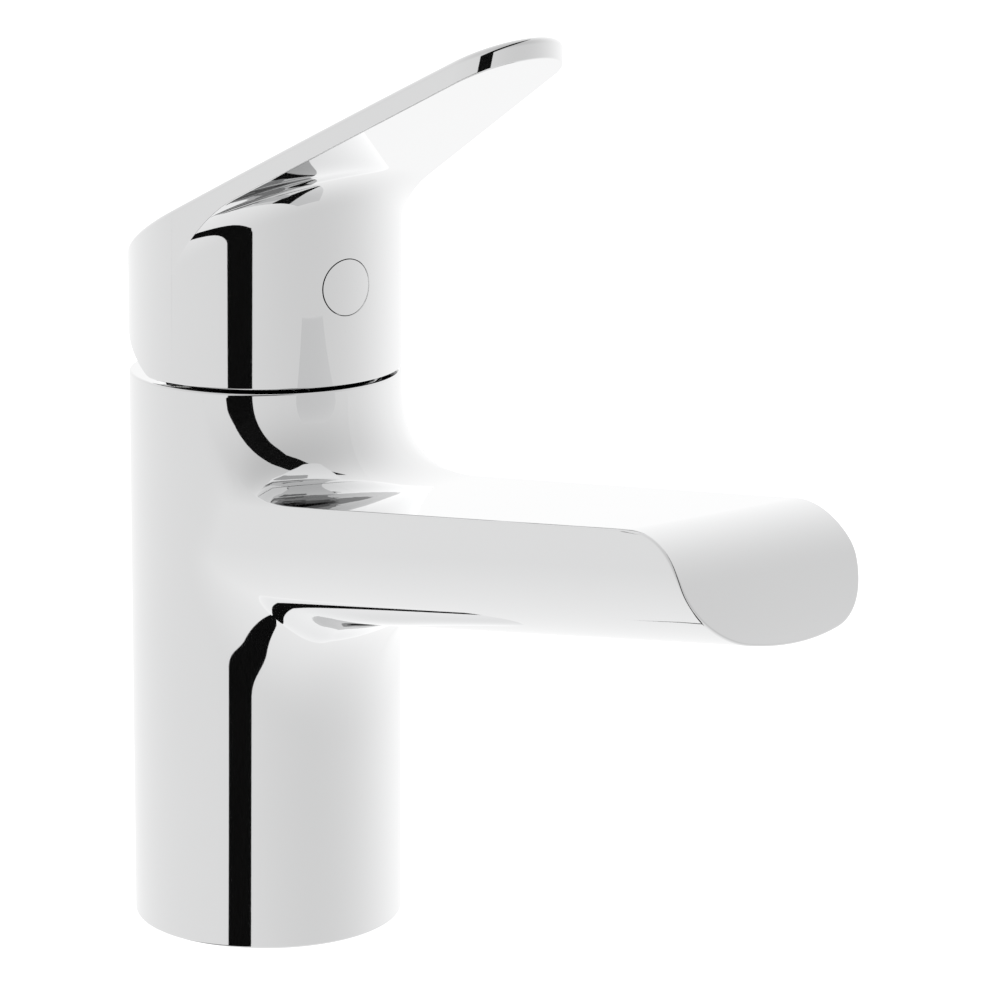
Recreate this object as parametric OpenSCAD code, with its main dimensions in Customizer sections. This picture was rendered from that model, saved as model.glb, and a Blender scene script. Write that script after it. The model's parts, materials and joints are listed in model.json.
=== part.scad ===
// Basin mixer tap with a single lever: a cast body with its spout, a 35 mm ceramic cartridge
// under a screwed ring, a lever handle with its screw and cap, and an aerator under the spout.
// Millimetres. The origin is the middle of the base on the basin, +Z is up, the spout points to -Y.

/* [Body] */
// Diameter of the round body and of the handle above it
body_d = 46; // [45.5:0.5:50]
// Height of the body, up to the gap under the handle
body_h = 95; // [92:1:110]
// Wall of the body round the open base
base_wall = 3.5; // [2.5:0.25:4]
// Depth of the open base, where the supply hoses come in
base_depth = 22; // [16:1:26]
// Size of the broken edges at the base and the rim
edge_break = 0.4; // [0.2:0.1:0.6]

/* [Spout] */
// How far the lip of the spout stands out from the body's axis
spout_reach = 130; // [126:1:145]
// Distance from the body's rim down to the spout's flat top, on the axis
spout_drop = 20; // [18:0.5:22]
// Angle at which the spout rises towards its lip
spout_rise = 7.94; // [6:0.1:9]
// How much narrower than the body the flat top is on each side, on the axis
root_inset = 2.85; // [2.5:0.05:4]
// Width of the flat top at the lip
spout_tip_w = 32.5; // [31:0.1:36]
// How much wider than its flat top the spout is at its fullest
spout_swell = 1.9; // [1:0.1:2.4]
// Depth of the spout where it leaves the axis
spout_root_depth = 22.7; // [21:0.1:24]
// Depth of the spout at the lip
spout_tip_depth = 18.3; // [18:0.1:20]
// Radius of the fillet between the spout's top and the body
fillet_top_r = 14.5; // [10:0.5:15]
// Radius of the fillet between the spout's underside and the body
fillet_low_r = 18; // [12:0.5:20]
// Radius of the rounded nose at the end of the flat top
nose_r = 12; // [9:0.5:13]
// Radius of the hollow sweep from the nose down to the lip
sweep_r = 45; // [35:1:60]
// How far the sweep runs forward from the nose to the lip
sweep_run = 5.8; // [5:0.1:7]
// Steepest slope of the front face, where the nose meets the sweep
nose_slope = 64; // [60:1:68]

/* [Waterway] */
// Height of the cartridge from its seat to its shoulder
barrel_h = 22; // [21:0.5:23]
// Bore of the threaded hole for each supply hose, the minor diameter of M10x1
inlet_d = 9; // [8.5:0.1:9.2]
// Spacing of the two supply holes
inlet_spacing = 15; // [14:0.5:17]
// Depth of the thread in each supply hole
inlet_depth = 12; // [10:1:14]
// Bore of the threaded hole for the fixing stud, the minor diameter of M8
stud_d = 6.8; // [6:0.1:7]
// Depth of the thread for the fixing stud
stud_depth = 14; // [10:1:16]
// Bore of the water channel along the spout
channel_d = 6.4; // [5.6:0.2:6.6]

/* [Handle] */
// Angle of the lever above the level
lever_slope = 26.4; // [25:0.1:28]
// Height of the lever's underside above the body's rim, on the axis
lever_lift = 23.3; // [22.5:0.1:26]
// Thickness of the lever plate, measured straight up
lever_t = 3.6; // [3.2:0.1:4.4]
// Distance from the axis to the centre of the lever's round end
lever_l = 60.6; // [54:0.2:74]
// Radius of the lever's round end
lever_tip_r = 10.4; // [8:0.1:12]
// Radius of the fillet between the lever's underside and the handle
lever_fillet_r = 5.5; // [4:0.25:6.5]
// Wall of the hollow handle
handle_wall = 2.8; // [2.4:0.1:3]
// Gap between the body's rim and the handle
rim_gap = 0.6; // [0.5:0.05:0.9]
// Angle of the cut that clears the rim behind when the lever is lifted
heel_slope = 28.2; // [27:0.1:30]
// Diameter of the round cap over the handle's screw
cap_d = 9.2; // [8.5:0.1:9.8]
// Height of the cap's centre above the body's rim
cap_lift = 16.8; // [15.6:0.2:18]

/* [Cartridge] */
// Wall that the body keeps round the cartridge's barrel
cartridge_room = 5.6; // [5.4:0.1:5.8]
// Width of the shoulder between the cartridge's barrel and its neck
neck_step = 2.4; // [2.2:0.1:2.6]
// Height of the lever's pivot above the body's rim
pivot_lift = 5; // [4.6:0.1:5.4]
// Greatest angle through which the lever lifts
lift_angle = 25; // [20:1:25]
// Width of the square stem
stem_w = 8; // [7.6:0.1:8.1]
// Diameter of the ball at the stem's lower end
ball_d = 5.2; // [4.8:0.1:5.4]
// Thickness of each ceramic disc
disc_t = 3.5; // [3.2:0.1:3.6]

/* [Aerator] */
// Distance from the body's axis to the aerator's axis, at the spout's underside
aerator_at = 111; // [106:1:112]
// Outer diameter of the aerator's shell, as for an M18.5x1 thread
aerator_d = 18.3; // [17.5:0.1:18.5]
// Height of the aerator's shell
aerator_h = 7.6; // [7.4:0.1:7.8]

/* [Clearances] */
// Gap round a part that is screwed or pushed into its hole
fit_gap = 0.15; // [0.1:0.05:0.2]
// Gap round a pin, a shaft or a bearing face
run_gap = 0.06; // [0.04:0.01:0.1]
// Gap between plastic parts that move past each other
slide_gap = 0.3; // [0.2:0.05:0.35]

/* [Hidden] */
$fn = 96;

// Colours, as the finished tap shows them
chrome = "gainsboro";
brass = "goldenrod";
white_plastic = "whitesmoke";
grey_plastic = "lightslategray";
rubber = "dimgray";
ceramic = "ivory";
steel = "silver";

// A cut runs this far past the face that it opens
past = 1;
// A fillet's ends reach this far into the faces that they blend
sink = 0.05;

body_r = body_d / 2;
recess_r = body_r - base_wall;
// The hoses come in behind the axis and the fixing stud in front of it
hose_s = -5;
stud_s = 9;

// Heights of the cartridge and of what holds it
shoulder_z = body_h - 7;
seat_z = shoulder_z - barrel_h;
pivot_z = body_h + pivot_lift;
nut_h = 6.3;
barrel_r = body_r - cartridge_room;
nut_r = barrel_r + 1.5;
neck_r = barrel_r - neck_step;
neck_top_z = pivot_z + 1.8;
neck_bore_r = neck_r - 2.5;
chamber_r = barrel_r - 1.8;
lip_z = pivot_z - 1.6;
// The cartridge's inner parts are given for a barrel of 17.4 mm radius and follow its size
k = barrel_r / 17.4;
lip_hole_r = 9.2 * k;

// The cartridge's stack, from the seat up
flange_base_h = 4;
base_h = 5.5;
fixed_disc_z = seat_z + base_h;
fixed_disc_r = chamber_r - 1;
moving_disc_z = fixed_disc_z + disc_t + run_gap;
carrier_z = moving_disc_z + disc_t;
carrier_h = 4.8;
flange_z = carrier_z + carrier_h + 0.2;
flange_h = 2.2;
chamber_top_z = flange_z + flange_h + slide_gap;
ball_z = carrier_z + 2.9;
ball_arm = pivot_z - ball_z;
// The sliding disc lies this far behind the middle when shut, and as far in front when open
slide_back = ball_arm * sin(lift_angle) / 2;
slide_r = 11.2 * k;
carrier_half_w = 9.4 * k;
drive_peg_l = 7.5 * k;

// Ports in the seat, the cartridge's base and the fixed disc, as [towards the lip, across]
inlet_port = k * [-2.6, 5.5];
outlet_port = k * [8.5, 0];
inlet_port_r = 2.4 * k;
outlet_port_r = 3.4 * k;
port_cord_r = 0.75 * k;
disc_cord_r = 0.65 * k;
peg_at = k * [-11, 6];
peg_r = 1.4 * k;
peg_h = 2;

// The spout: its flat top, its underside and its section at the axis and at the lip
function mix(a, b, t) = a + (b - a) * t;
function unit(v) = v / norm(v);
function top_z(s) = body_h - spout_drop + s * tan(spout_rise);
function under_z(s) = top_z(s) - mix(spout_root_depth, spout_tip_depth, s / spout_reach);
under_slope = atan(tan(spout_rise) + (spout_root_depth - spout_tip_depth) / spout_reach);
root_corner_r = 12.9;
tip_corner_r = 10.6;
belly_turn = 12;
top_steps = 5;
fan_steps = 5;
corner_steps = 12;
belly_steps = 3;
fillet_steps = 9;

// The spout's front: a nose that leaves the flat top, then a hollow sweep down to the lip
nose_s = spout_reach - sweep_run - nose_r * (sin(spout_rise) + sin(nose_slope));
nose_start = [nose_s, top_z(nose_s)];
nose_c = nose_start + nose_r * [sin(spout_rise), -cos(spout_rise)];
nose_end = nose_c + nose_r * [sin(nose_slope), cos(nose_slope)];
sweep_c = nose_end + sweep_r * [sin(nose_slope), cos(nose_slope)];
sweep_turn = 20;
nose_steps = 16;
sweep_steps = 5;

// The water channel runs from under the seat to the aerator's chamber
channel_r = channel_d / 2;
channel_wall = 2;
function channel_z(s) = top_z(s) - channel_r - channel_wall;
channel_low = [outlet_port[0], 0, seat_z - 10.5];
channel_bend = [45, 0, channel_z(45)];

// The aerator's axis is square to the spout's underside, and its shell is sunk in its bore
aerator_r = aerator_d / 2;
aerator_bore_r = aerator_r + fit_gap;
aerator_sunk = 1.6;
seal_h = 1.2;
aerator_bore_h = aerator_sunk + aerator_h + seal_h;
aerator_chamber_r = aerator_r - 1.7;
aerator_chamber_h = 4;
channel_end = [aerator_at - aerator_chamber_r, 0, channel_z(aerator_at - aerator_chamber_r)];

// The handle's planes: the underside of the lever, its top and the hollow's ceiling
function lever_under(s) = body_h + lever_lift + s * tan(lever_slope);
function lever_top(s) = lever_under(s) + lever_t;
function ceiling(s) = lever_top(s) - 3.2;
handle_z = body_h + rim_gap;
handle_bore_r = body_r - handle_wall;
heel_s = -1.6;
// In plan the lever's straight sides leave the round handle at this angle to its length
side_turn = asin((body_r - lever_tip_r) / lever_l);
screw_z = body_h + cap_lift;
screw_r = 2.45;
boss_r = lip_hole_r + 0.3;
boss_z = pivot_z + 8;
cap_r = cap_d / 2;
screw_boss_r = cap_r + 1.6;
sleeve_wall = 1.2;
sleeve_w = stem_w + 2 * sleeve_wall;
stem_top_z = screw_z + 2.7;
socket_top_z = stem_top_z + 0.5;
cap_gap = 0.12;
cap_depth = 4.5;
cap_step = 1.5;
cap_seat_s = body_r - 2 * cap_depth;
screw_length = cap_seat_s - stem_w / 2 - 1.6;
pin_r = 1.5;
pin_half_l = lip_hole_r - 0.5;

// Turns a part that is drawn with the spout along +X, so that the spout points to -Y
module front() {
    rotate([0, 0, -90]) children();
}

// Copies its children to both sides of the plane through the spout
module both_sides() {
    children();
    mirror([0, 1, 0]) children();
}

module ring(outer, inner, h) {
    difference() {
        cylinder(r = outer, h = h);
        translate([0, 0, -past]) cylinder(r = inner, h = h + 2 * past);
    }
}

module o_ring(ring_r, cord_r) {
    rotate_extrude() translate([ring_r, 0]) circle(r = cord_r, $fn = 32);
}

// An upright profile in the plane of the spout, with the given width across it
module upright(width) {
    translate([0, width / 2, 0]) rotate([90, 0, 0]) linear_extrude(height = width) children();
}

// A cylinder along the spout's direction
module along(r, from, to, z) {
    translate([from, 0, z]) rotate([0, 90, 0]) cylinder(r = r, h = to - from);
}

// A cylinder between two points in the plane of the spout
module pipe(r, a, b) {
    d = b - a;
    translate(a) rotate([0, atan2(d[0], d[2]), 0]) cylinder(r = r, h = norm(d));
}

// Places its children at each port, with the given radii for the inlets and the outlet
module at_ports() {
    both_sides() translate([inlet_port[0], inlet_port[1], 0]) children(0);
    translate([outlet_port[0], outlet_port[1], 0]) children(1);
}

// The spout's form

// Half of the section as [across, down, normal across, normal up], from the middle of the flat
// top over its sharp edge, down the side and round the corner to the middle of the underside.
// The normal turns in steps at the sharp edge, for the fillet that rolls round it.
function half_section(top_w, corner_r, depth) =
    let (
        w = top_w / 2,
        cx = w + spout_swell / 2 - corner_r,
        cy = depth - corner_r - cx * tan(belly_turn / 2),
        lean = atan2(cy, w - cx) - acos(corner_r / norm([w - cx, cy])),
        belly_r = corner_r + cx / sin(belly_turn)
    )
    concat(
        [for (i = [0 : top_steps]) [w * i / top_steps, 0, 0, 1]],
        [for (i = [1 : fan_steps])
            let (a = mix(90, lean, i / fan_steps)) [w, 0, cos(a), sin(a)]],
        [for (i = [0 : corner_steps])
            let (a = mix(lean, belly_turn - 90, i / corner_steps))
            [cx + corner_r * cos(a), cy - corner_r * sin(a), cos(a), sin(a)]],
        [for (i = [1 : belly_steps])
            let (a = belly_turn * (1 - i / belly_steps))
            [belly_r * sin(a), depth - belly_r * (1 - cos(a)), sin(a), -cos(a)]]
    );
function mirrored(p) = [-p[0], p[1], -p[2], p[3]];
function whole_section(half) =
    concat(half, [for (i = [len(half) - 2 : -1 : 1]) mirrored(half[i])]);
root_section = whole_section(half_section(body_d - 2 * root_inset, root_corner_r, spout_root_depth));
tip_section = whole_section(half_section(spout_tip_w, tip_corner_r, spout_tip_depth));
stations = len(root_section);
side_station = top_steps + fan_steps + 1;

// A station's point at the distance s from the axis, and the way it moves as s grows
function spout_point(i, s) =
    let (p = mix(root_section[i], tip_section[i], s / spout_reach)) [s, p[0], top_z(s) - p[1]];
function spout_line(i) = (spout_point(i, spout_reach) - spout_point(i, 0)) / spout_reach;

// The ball that rolls in the corner between the spout and the round body, where it touches the
// station's line: its centre, its radius and the directions to the two faces
function corner_ball(i) =
    let (
        n = mix(root_section[i], tip_section[i], 0.2),
        g = spout_line(i),
        face = unit([-(n[2] * g[1] + n[3] * g[2]), n[2], n[3]]),
        r = mix(fillet_top_r, fillet_low_r, (1 - face[2]) / 2),
        p = spout_point(i, 0) + r * face,
        reach = body_r + r - sink,
        a = 1 + g[1] * g[1],
        b = p[0] + p[1] * g[1],
        c = p[0] * p[0] + p[1] * p[1] - reach * reach,
        centre = p + g * (sqrt(b * b - a * c) - b) / a
    )
    [centre, r, -face, -unit([centre[0], centre[1], 0])];
// The direction at the share t of the way from u to v
function between(u, v, t) =
    let (w = acos(u * v)) (u * sin((1 - t) * w) + v * sin(t * w)) / sin(w);

// The rings of the spout's skin, from past the lip to inside the body
skin_end_s = spout_reach + 4;
skin_rows = fillet_steps + 3;
skin_points = concat(
    [for (i = [0 : stations - 1]) spout_point(i, skin_end_s)],
    [for (j = [0 : fillet_steps]) for (i = [0 : stations - 1])
        let (ball = corner_ball(i)) ball[0] + ball[1] * between(ball[2], ball[3], j / fillet_steps)],
    [for (i = [0 : stations - 1])
        let (ball = corner_ball(i), p = ball[0] + ball[1] * ball[3]) [p[0] * 0.85, p[1] * 0.85, p[2]]],
    [spout_point(0, skin_end_s) - [0, 0, spout_tip_depth / 2], [body_r / 4, 0, under_z(0) + 5]]
);
// Where the normal turns at the sharp edge, the lines to the lip fall together, so those
// stations end at the next station on the side
function end_station(i) =
    i > top_steps && i < side_station ? side_station :
    i > stations - side_station && i < stations - top_steps ? stations - side_station : i;
function skin_index(row, i) =
    let (k = i % stations) row == 0 ? end_station(k) : row * stations + k;
skin_faces = [
    for (row = [0 : skin_rows - 2]) for (i = [0 : stations - 1])
        let (
            a = skin_index(row, i), b = skin_index(row, i + 1),
            c = skin_index(row + 1, i + 1), d = skin_index(row + 1, i)
        )
        for (face = [[a, c, b], [a, d, c]])
            if (face[0] != face[1] && face[1] != face[2] && face[2] != face[0]) face
];
skin_caps = [
    for (i = [0 : stations - 1]) for (end = [0, skin_rows - 1])
        let (
            a = skin_index(end, i), b = skin_index(end, i + 1),
            middle = end == 0 ? skin_rows * stations : skin_rows * stations + 1
        )
        if (a != b) end == 0 ? [a, b, middle] : [b, a, middle]
];

// Everything behind the spout's front face
module behind_front() {
    polygon(concat(
        [[0, 0], [0, 2 * body_h], [nose_start[0], 2 * body_h]],
        [for (i = [0 : nose_steps])
            let (a = mix(-spout_rise, nose_slope, i / nose_steps))
            nose_c + nose_r * [sin(a), cos(a)]],
        [for (i = [1 : sweep_steps])
            let (a = nose_slope - sweep_turn * i / sweep_steps)
            sweep_c - sweep_r * [sin(a), cos(a)]],
        [[spout_reach + 3, 0]]
    ));
}

module spout_form() {
    intersection() {
        polyhedron(points = skin_points, faces = concat(skin_faces, skin_caps), convexity = 6);
        upright(2 * body_d) behind_front();
    }
}

module body_form() {
    cylinder(r1 = body_r - edge_break, r2 = body_r, h = edge_break);
    translate([0, 0, edge_break]) cylinder(r = body_r, h = body_h - 2 * edge_break);
    translate([0, 0, body_h - edge_break])
        cylinder(r1 = body_r, r2 = body_r - edge_break, h = edge_break);
}

// Places its children in the aerator's frame: the origin on the spout's underside, +Z inwards
module at_aerator() {
    translate([aerator_at, 0, under_z(aerator_at)]) rotate([0, -under_slope, 0]) children();
}

// Everything that is cored or machined out of the casting
module cartridge_bore() {
    translate([0, 0, seat_z]) cylinder(r = barrel_r + fit_gap, h = body_h);
    translate([0, 0, shoulder_z - 0.5]) cylinder(r = nut_r + fit_gap / 2, h = body_h);
    translate([0, 0, body_h - 0.6]) cylinder(r = body_r - 3.3, h = past + 0.6);
    both_sides() translate([peg_at[0], peg_at[1], seat_z - peg_h - 0.3])
        cylinder(r = peg_r + fit_gap, h = peg_h + 0.3 + past);
}

module waterways() {
    inlet_top_z = base_depth + inlet_depth;
    both_sides() translate([inlet_port[0], inlet_port[1], inlet_top_z - past])
        cylinder(r = inlet_port_r, h = seat_z - inlet_top_z + 2 * past);
    translate([outlet_port[0], outlet_port[1], channel_low[2]])
        cylinder(r = outlet_port_r, h = seat_z - channel_low[2] + past);
    translate(channel_low) sphere(r = outlet_port_r + 0.3);
    pipe(channel_r, channel_low, channel_bend);
    translate(channel_bend) sphere(r = channel_r + 0.15);
    pipe(channel_r, channel_bend, channel_end);
    at_aerator() translate([0, 0, -2 * past]) cylinder(r = aerator_bore_r, h = aerator_bore_h + 2 * past);
    at_aerator() cylinder(r = aerator_chamber_r, h = aerator_bore_h + aerator_chamber_h);
}

module base_openings() {
    translate([0, 0, -past]) cylinder(r = recess_r, h = base_depth + past);
    both_sides() translate([hose_s, inlet_spacing / 2, base_depth - past])
        cylinder(d = inlet_d, h = inlet_depth + past);
    translate([stud_s, 0, base_depth - past]) cylinder(d = stud_d, h = stud_depth + past);
    translate([0, 0, -past]) ring(body_r - 0.9, recess_r + 0.9, past + 1.2);
}

module body() {
    color(chrome) front() difference() {
        union() {
            body_form();
            spout_form();
        }
        cartridge_bore();
        waterways();
        base_openings();
    }
}

module base_seal() {
    color(rubber) ring(body_r - 1, recess_r + 1, 1.1);
}

// Cartridge

module port_rings(z, cord_r) {
    translate([0, 0, z]) at_ports() {
        o_ring(inlet_port_r + 1 + cord_r - 0.3, cord_r);
        o_ring(outlet_port_r + 1 + cord_r - 0.3, cord_r);
    }
}

// The round pockets that hold those rings
module port_pockets(z, cord_r, h) {
    translate([0, 0, z]) at_ports() {
        cylinder(r = inlet_port_r + 0.9 + 2 * cord_r, h = h);
        cylinder(r = outlet_port_r + 0.9 + 2 * cord_r, h = h);
    }
}

module port_holes(z, h) {
    translate([0, 0, z]) at_ports() {
        cylinder(r = inlet_port_r, h = h);
        cylinder(r = outlet_port_r, h = h);
    }
}

module port_seals() {
    color(rubber) front() port_rings(seat_z + port_cord_r, port_cord_r);
}

module cartridge_base() {
    color(white_plastic) front() difference() {
        union() {
            translate([0, 0, seat_z]) cylinder(r = barrel_r, h = flange_base_h);
            translate([0, 0, seat_z]) cylinder(r = chamber_r - fit_gap, h = base_h);
            both_sides() translate([peg_at[0], peg_at[1], seat_z - peg_h])
                cylinder(r = peg_r, h = peg_h + past);
        }
        port_holes(seat_z - past, base_h + 2 * past);
        port_pockets(seat_z - past, port_cord_r, 2 * port_cord_r + past);
        port_pockets(fixed_disc_z - 2 * disc_cord_r, disc_cord_r, 2 * disc_cord_r + past);
    }
}

module disc_seals() {
    color(rubber) front() port_rings(fixed_disc_z - disc_cord_r, disc_cord_r);
}

module fixed_disc() {
    color(ceramic) front() difference() {
        translate([0, 0, fixed_disc_z]) cylinder(r = fixed_disc_r, h = disc_t);
        port_holes(fixed_disc_z - past, disc_t + 2 * past);
        both_sides() translate([0, fixed_disc_r, fixed_disc_z + disc_t / 2])
            cube([4, 3, disc_t + 2 * past], center = true);
    }
}

// The mixing pocket in the sliding disc: shut, it leaves the inlets covered, and open, its
// cross-bar reaches them and its stem reaches the outlet
module mixing_pocket() {
    bar = k * [-6.3, 5.2];
    bar_r = 2 * k;
    half_stem_w = 2.6 * k;
    stem_end = slide_r - 5 * k;
    linear_extrude(height = 1.8 + past) {
        both_sides() translate(bar) circle(r = bar_r);
        translate([bar[0] - bar_r, -bar[1]]) square([2 * bar_r, 2 * bar[1]]);
        translate([bar[0], -half_stem_w]) square([stem_end - bar[0], 2 * half_stem_w]);
        translate([stem_end, 0]) circle(r = half_stem_w);
    }
}

module moving_disc() {
    color(ceramic) front() translate([-slide_back, 0, moving_disc_z]) difference() {
        cylinder(r = slide_r, h = disc_t);
        translate([0, 0, -past]) mixing_pocket();
        both_sides() translate([0, drive_peg_l, disc_t - 1.4]) cylinder(r = 1.2, h = 1.4 + past);
    }
}

module disc_carrier() {
    color(grey_plastic) front() translate([-slide_back, 0, carrier_z]) difference() {
        union() {
            intersection() {
                cylinder(r = slide_r, h = carrier_h);
                translate([0, 0, carrier_h / 2])
                    cube([3 * slide_r, 2 * carrier_half_w, carrier_h], center = true);
            }
            both_sides() translate([0, drive_peg_l, -1.3]) cylinder(r = 1.1, h = 1.3 + past);
        }
        translate([slide_back, 0, -past]) cylinder(r = ball_d / 2 + 0.2, h = carrier_h + 2 * past);
        translate([slide_back, 0, carrier_h - 0.8])
            cylinder(r1 = ball_d / 2 + 0.2, r2 = ball_d / 2 + 1.2, h = 1);
    }
}

module rotor() {
    slot_half_w = stem_w / 2 + 0.2;
    half = stem_w / 2;
    color(white_plastic) front() difference() {
        union() {
            translate([0, 0, flange_z]) cylinder(r = chamber_r - slide_gap, h = flange_h);
            translate([0, 0, flange_z])
                cylinder(r = neck_bore_r - slide_gap, h = lip_z - slide_gap - flange_z);
            translate([0, 0, flange_z])
                cylinder(r = lip_hole_r - slide_gap, h = pivot_z + 3.5 - flange_z);
            rotor_skirts();
        }
        upright(2 * slot_half_w) polygon([
            [-half - 2.9, pivot_z + 4.5], [-half - 0.8, pivot_z], [-half - 0.4, pivot_z - 5],
            [-half + 0.8, flange_z - past], [11 * k, flange_z - past], [half + 2, pivot_z - 2],
            [half + 0.4, pivot_z + 1], [half + 0.4, pivot_z + 4.5]
        ]);
        translate([0, 0, pivot_z]) rotate([90, 0, 0])
            cylinder(r = pin_r + 0.01, h = 4 * pin_half_l, center = true);
    }
}

// Two skirts that hang from the rotor's flange and guide the carrier's flat sides
module rotor_skirts() {
    skirt_z = carrier_z + 0.4;
    intersection() {
        translate([0, 0, skirt_z]) cylinder(r = chamber_r - slide_gap, h = flange_z - skirt_z + past);
        both_sides() translate([-slide_r, carrier_half_w + slide_gap, skirt_z])
            cube([2 * slide_r, chamber_r, flange_z - skirt_z + past]);
    }
}

module pivot_pin() {
    color(steel) front() translate([0, 0, pivot_z]) rotate([90, 0, 0])
        cylinder(r = pin_r, h = 2 * pin_half_l, center = true);
}

module stem() {
    block_z = pivot_z - 3.5;
    color(steel) front() difference() {
        union() {
            translate([-stem_w / 2, -stem_w / 2, block_z])
                cube([stem_w, stem_w, stem_top_z - block_z]);
            translate([0, 0, ball_z]) cylinder(r1 = 1.7, r2 = 3.2, h = block_z - ball_z + 0.5);
            translate([0, 0, ball_z]) sphere(d = ball_d);
        }
        translate([0, 0, pivot_z]) rotate([90, 0, 0])
            cylinder(r = pin_r + run_gap, h = 2 * stem_w, center = true);
    }
}

module cartridge_housing() {
    bottom_z = seat_z + flange_base_h + 0.05;
    color(white_plastic) difference() {
        union() {
            translate([0, 0, bottom_z]) cylinder(r = barrel_r, h = shoulder_z - bottom_z);
            translate([0, 0, bottom_z]) cylinder(r = neck_r, h = neck_top_z - bottom_z);
        }
        translate([0, 0, bottom_z - past]) cylinder(r = chamber_r, h = chamber_top_z - bottom_z + past);
        translate([0, 0, bottom_z]) cylinder(r = neck_bore_r, h = lip_z - bottom_z);
        translate([0, 0, bottom_z]) cylinder(r = lip_hole_r, h = neck_top_z);
    }
}

module clamp_nut() {
    notches = 6;
    color(brass) translate([0, 0, shoulder_z]) difference() {
        ring(nut_r, neck_r + fit_gap, nut_h);
        for (i = [0 : notches - 1]) rotate([0, 0, i * 360 / notches])
            translate([neck_r - 1, -2, nut_h - 2.2]) cube([nut_r, 4, 2.2 + past]);
    }
}

module bonnet() {
    bonnet_z = shoulder_z + nut_h + 0.1;
    inner_r = neck_r + fit_gap;
    width = body_r - 3.5 - inner_r;
    color(chrome) difference() {
        rotate_extrude() intersection() {
            translate([inner_r, bonnet_z]) square([width, 3.8]);
            translate([inner_r - 1.6, bonnet_z - 2]) circle(r = width + 1.95);
        }
        translate([0, 0, bonnet_z + 1.4]) cylinder(r = neck_r + 1.45, h = 1.6);
    }
}

module bonnet_oring() {
    color(rubber) translate([0, 0, shoulder_z + nut_h + 2.3]) o_ring(neck_r + 0.74, 0.7);
}

// Handle

// The lever's outline in plan: straight sides that touch the round handle and the round end
module lever_plan() {
    out = [sin(side_turn), cos(side_turn)];
    root = body_r * out;
    tip = [lever_l, 0] + lever_tip_r * out;
    circle(r = body_r);
    translate([lever_l, 0]) circle(r = lever_tip_r);
    polygon([root, tip, [tip[0], -tip[1]], [root[0], -root[1]]]);
}

module lever_plate() {
    end = lever_l + lever_tip_r + past;
    intersection() {
        translate([0, 0, body_h]) linear_extrude(height = 2 * lever_l) lever_plan();
        upright(2 * body_d) polygon([
            [-body_r - past, lever_under(-body_r - past)], [end, lever_under(end)],
            [end, 3 * body_h], [-body_r - past, 3 * body_h]
        ]);
    }
}

// The ball that rolls in the corner under the lever, at the angle turn from its length: it
// touches the underside, or past the lever's straight side its sharp lower edge
function lever_ball(turn) =
    let (
        r = lever_fillet_r,
        c = (body_r + r - sink) * [cos(turn), sin(turn)],
        flat_z = lever_under(c[0]) - (r - sink) / cos(lever_slope),
        flat_touch = c[0] - r * sin(lever_slope),
        side = sign(turn),
        inside = flat_touch * sin(side_turn) + abs(c[1]) * cos(side_turn) < body_r
    )
    inside
        ? [[c[0], c[1], flat_z], [-sin(lever_slope), 0, cos(lever_slope)]]
        : let (
            e = [body_r * sin(side_turn), side * body_r * cos(side_turn)],
            d = unit([cos(side_turn), -side * sin(side_turn), cos(side_turn) * tan(lever_slope)]),
            v = c - e,
            along = v * [d[0], d[1]],
            a = 1 - d[2] * d[2],
            b = along * d[2],
            q = v * v - along * along - (r - sink) * (r - sink),
            h = (b - sqrt(max(0, b * b - a * q))) / a,
            touch = d * (along + h * d[2]) - [v[0], v[1], h]
        )
        [[c[0], c[1], lever_under(e[0]) + h], unit(touch)];
bead_turn = 90 - side_turn - 6;
bead_stations = 32;
bead_steps = 7;
bead_ring = bead_steps + 2;
bead_points = [
    for (i = [0 : bead_stations])
        let (
            turn = mix(-bead_turn, bead_turn, i / bead_stations),
            ball = lever_ball(turn),
            out = [cos(turn), sin(turn), 0],
            core_r = body_r - 2.5
        )
        for (j = [0 : bead_steps + 1])
            j > bead_steps
                ? [core_r * out[0], core_r * out[1], lever_under(core_r * out[0]) + 1.2]
                : ball[0] + lever_fillet_r * between(ball[1], -out, j / bead_steps)
];
bead_faces = concat(
    [for (i = [0 : bead_stations - 1]) for (j = [0 : bead_ring - 1])
        let (
            a = i * bead_ring + j, b = i * bead_ring + (j + 1) % bead_ring,
            c = b + bead_ring, d = a + bead_ring
        )
        for (face = [[a, c, b], [a, d, c]]) face],
    [for (j = [0 : bead_steps - 1]) [bead_steps + 1, j, j + 1]],
    [for (j = [0 : bead_steps - 1])
        let (k = bead_stations * bead_ring) [k + bead_steps + 1, k + j + 1, k + j]]
);

module handle_hollow() {
    difference() {
        intersection() {
            translate([0, 0, handle_z - past]) cylinder(r = handle_bore_r, h = 2 * body_d);
            upright(2 * body_d) polygon([
                [-body_r, handle_z - 2 * past], [body_r, handle_z - 2 * past],
                [body_r, ceiling(body_r)], [-body_r, ceiling(-body_r)]
            ]);
        }
        translate([0, 0, boss_z]) cylinder(r = boss_r, h = body_d);
        along(screw_boss_r, sleeve_w / 2, body_r, screw_z);
    }
}

module handle_form() {
    translate([0, 0, handle_z]) cylinder(r = body_r, h = 2 * body_d);
    lever_plate();
    polyhedron(points = bead_points, faces = bead_faces, convexity = 6);
}

// Everything above the sloping top of the handle and its lever
module over_top() {
    back = -body_r - past;
    end = lever_l + lever_tip_r + 2 * past;
    upright(3 * body_d) polygon([
        [back, lever_top(back)], [end, lever_top(end)], [end, 4 * body_h], [back, 4 * body_h]
    ]);
}

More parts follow.
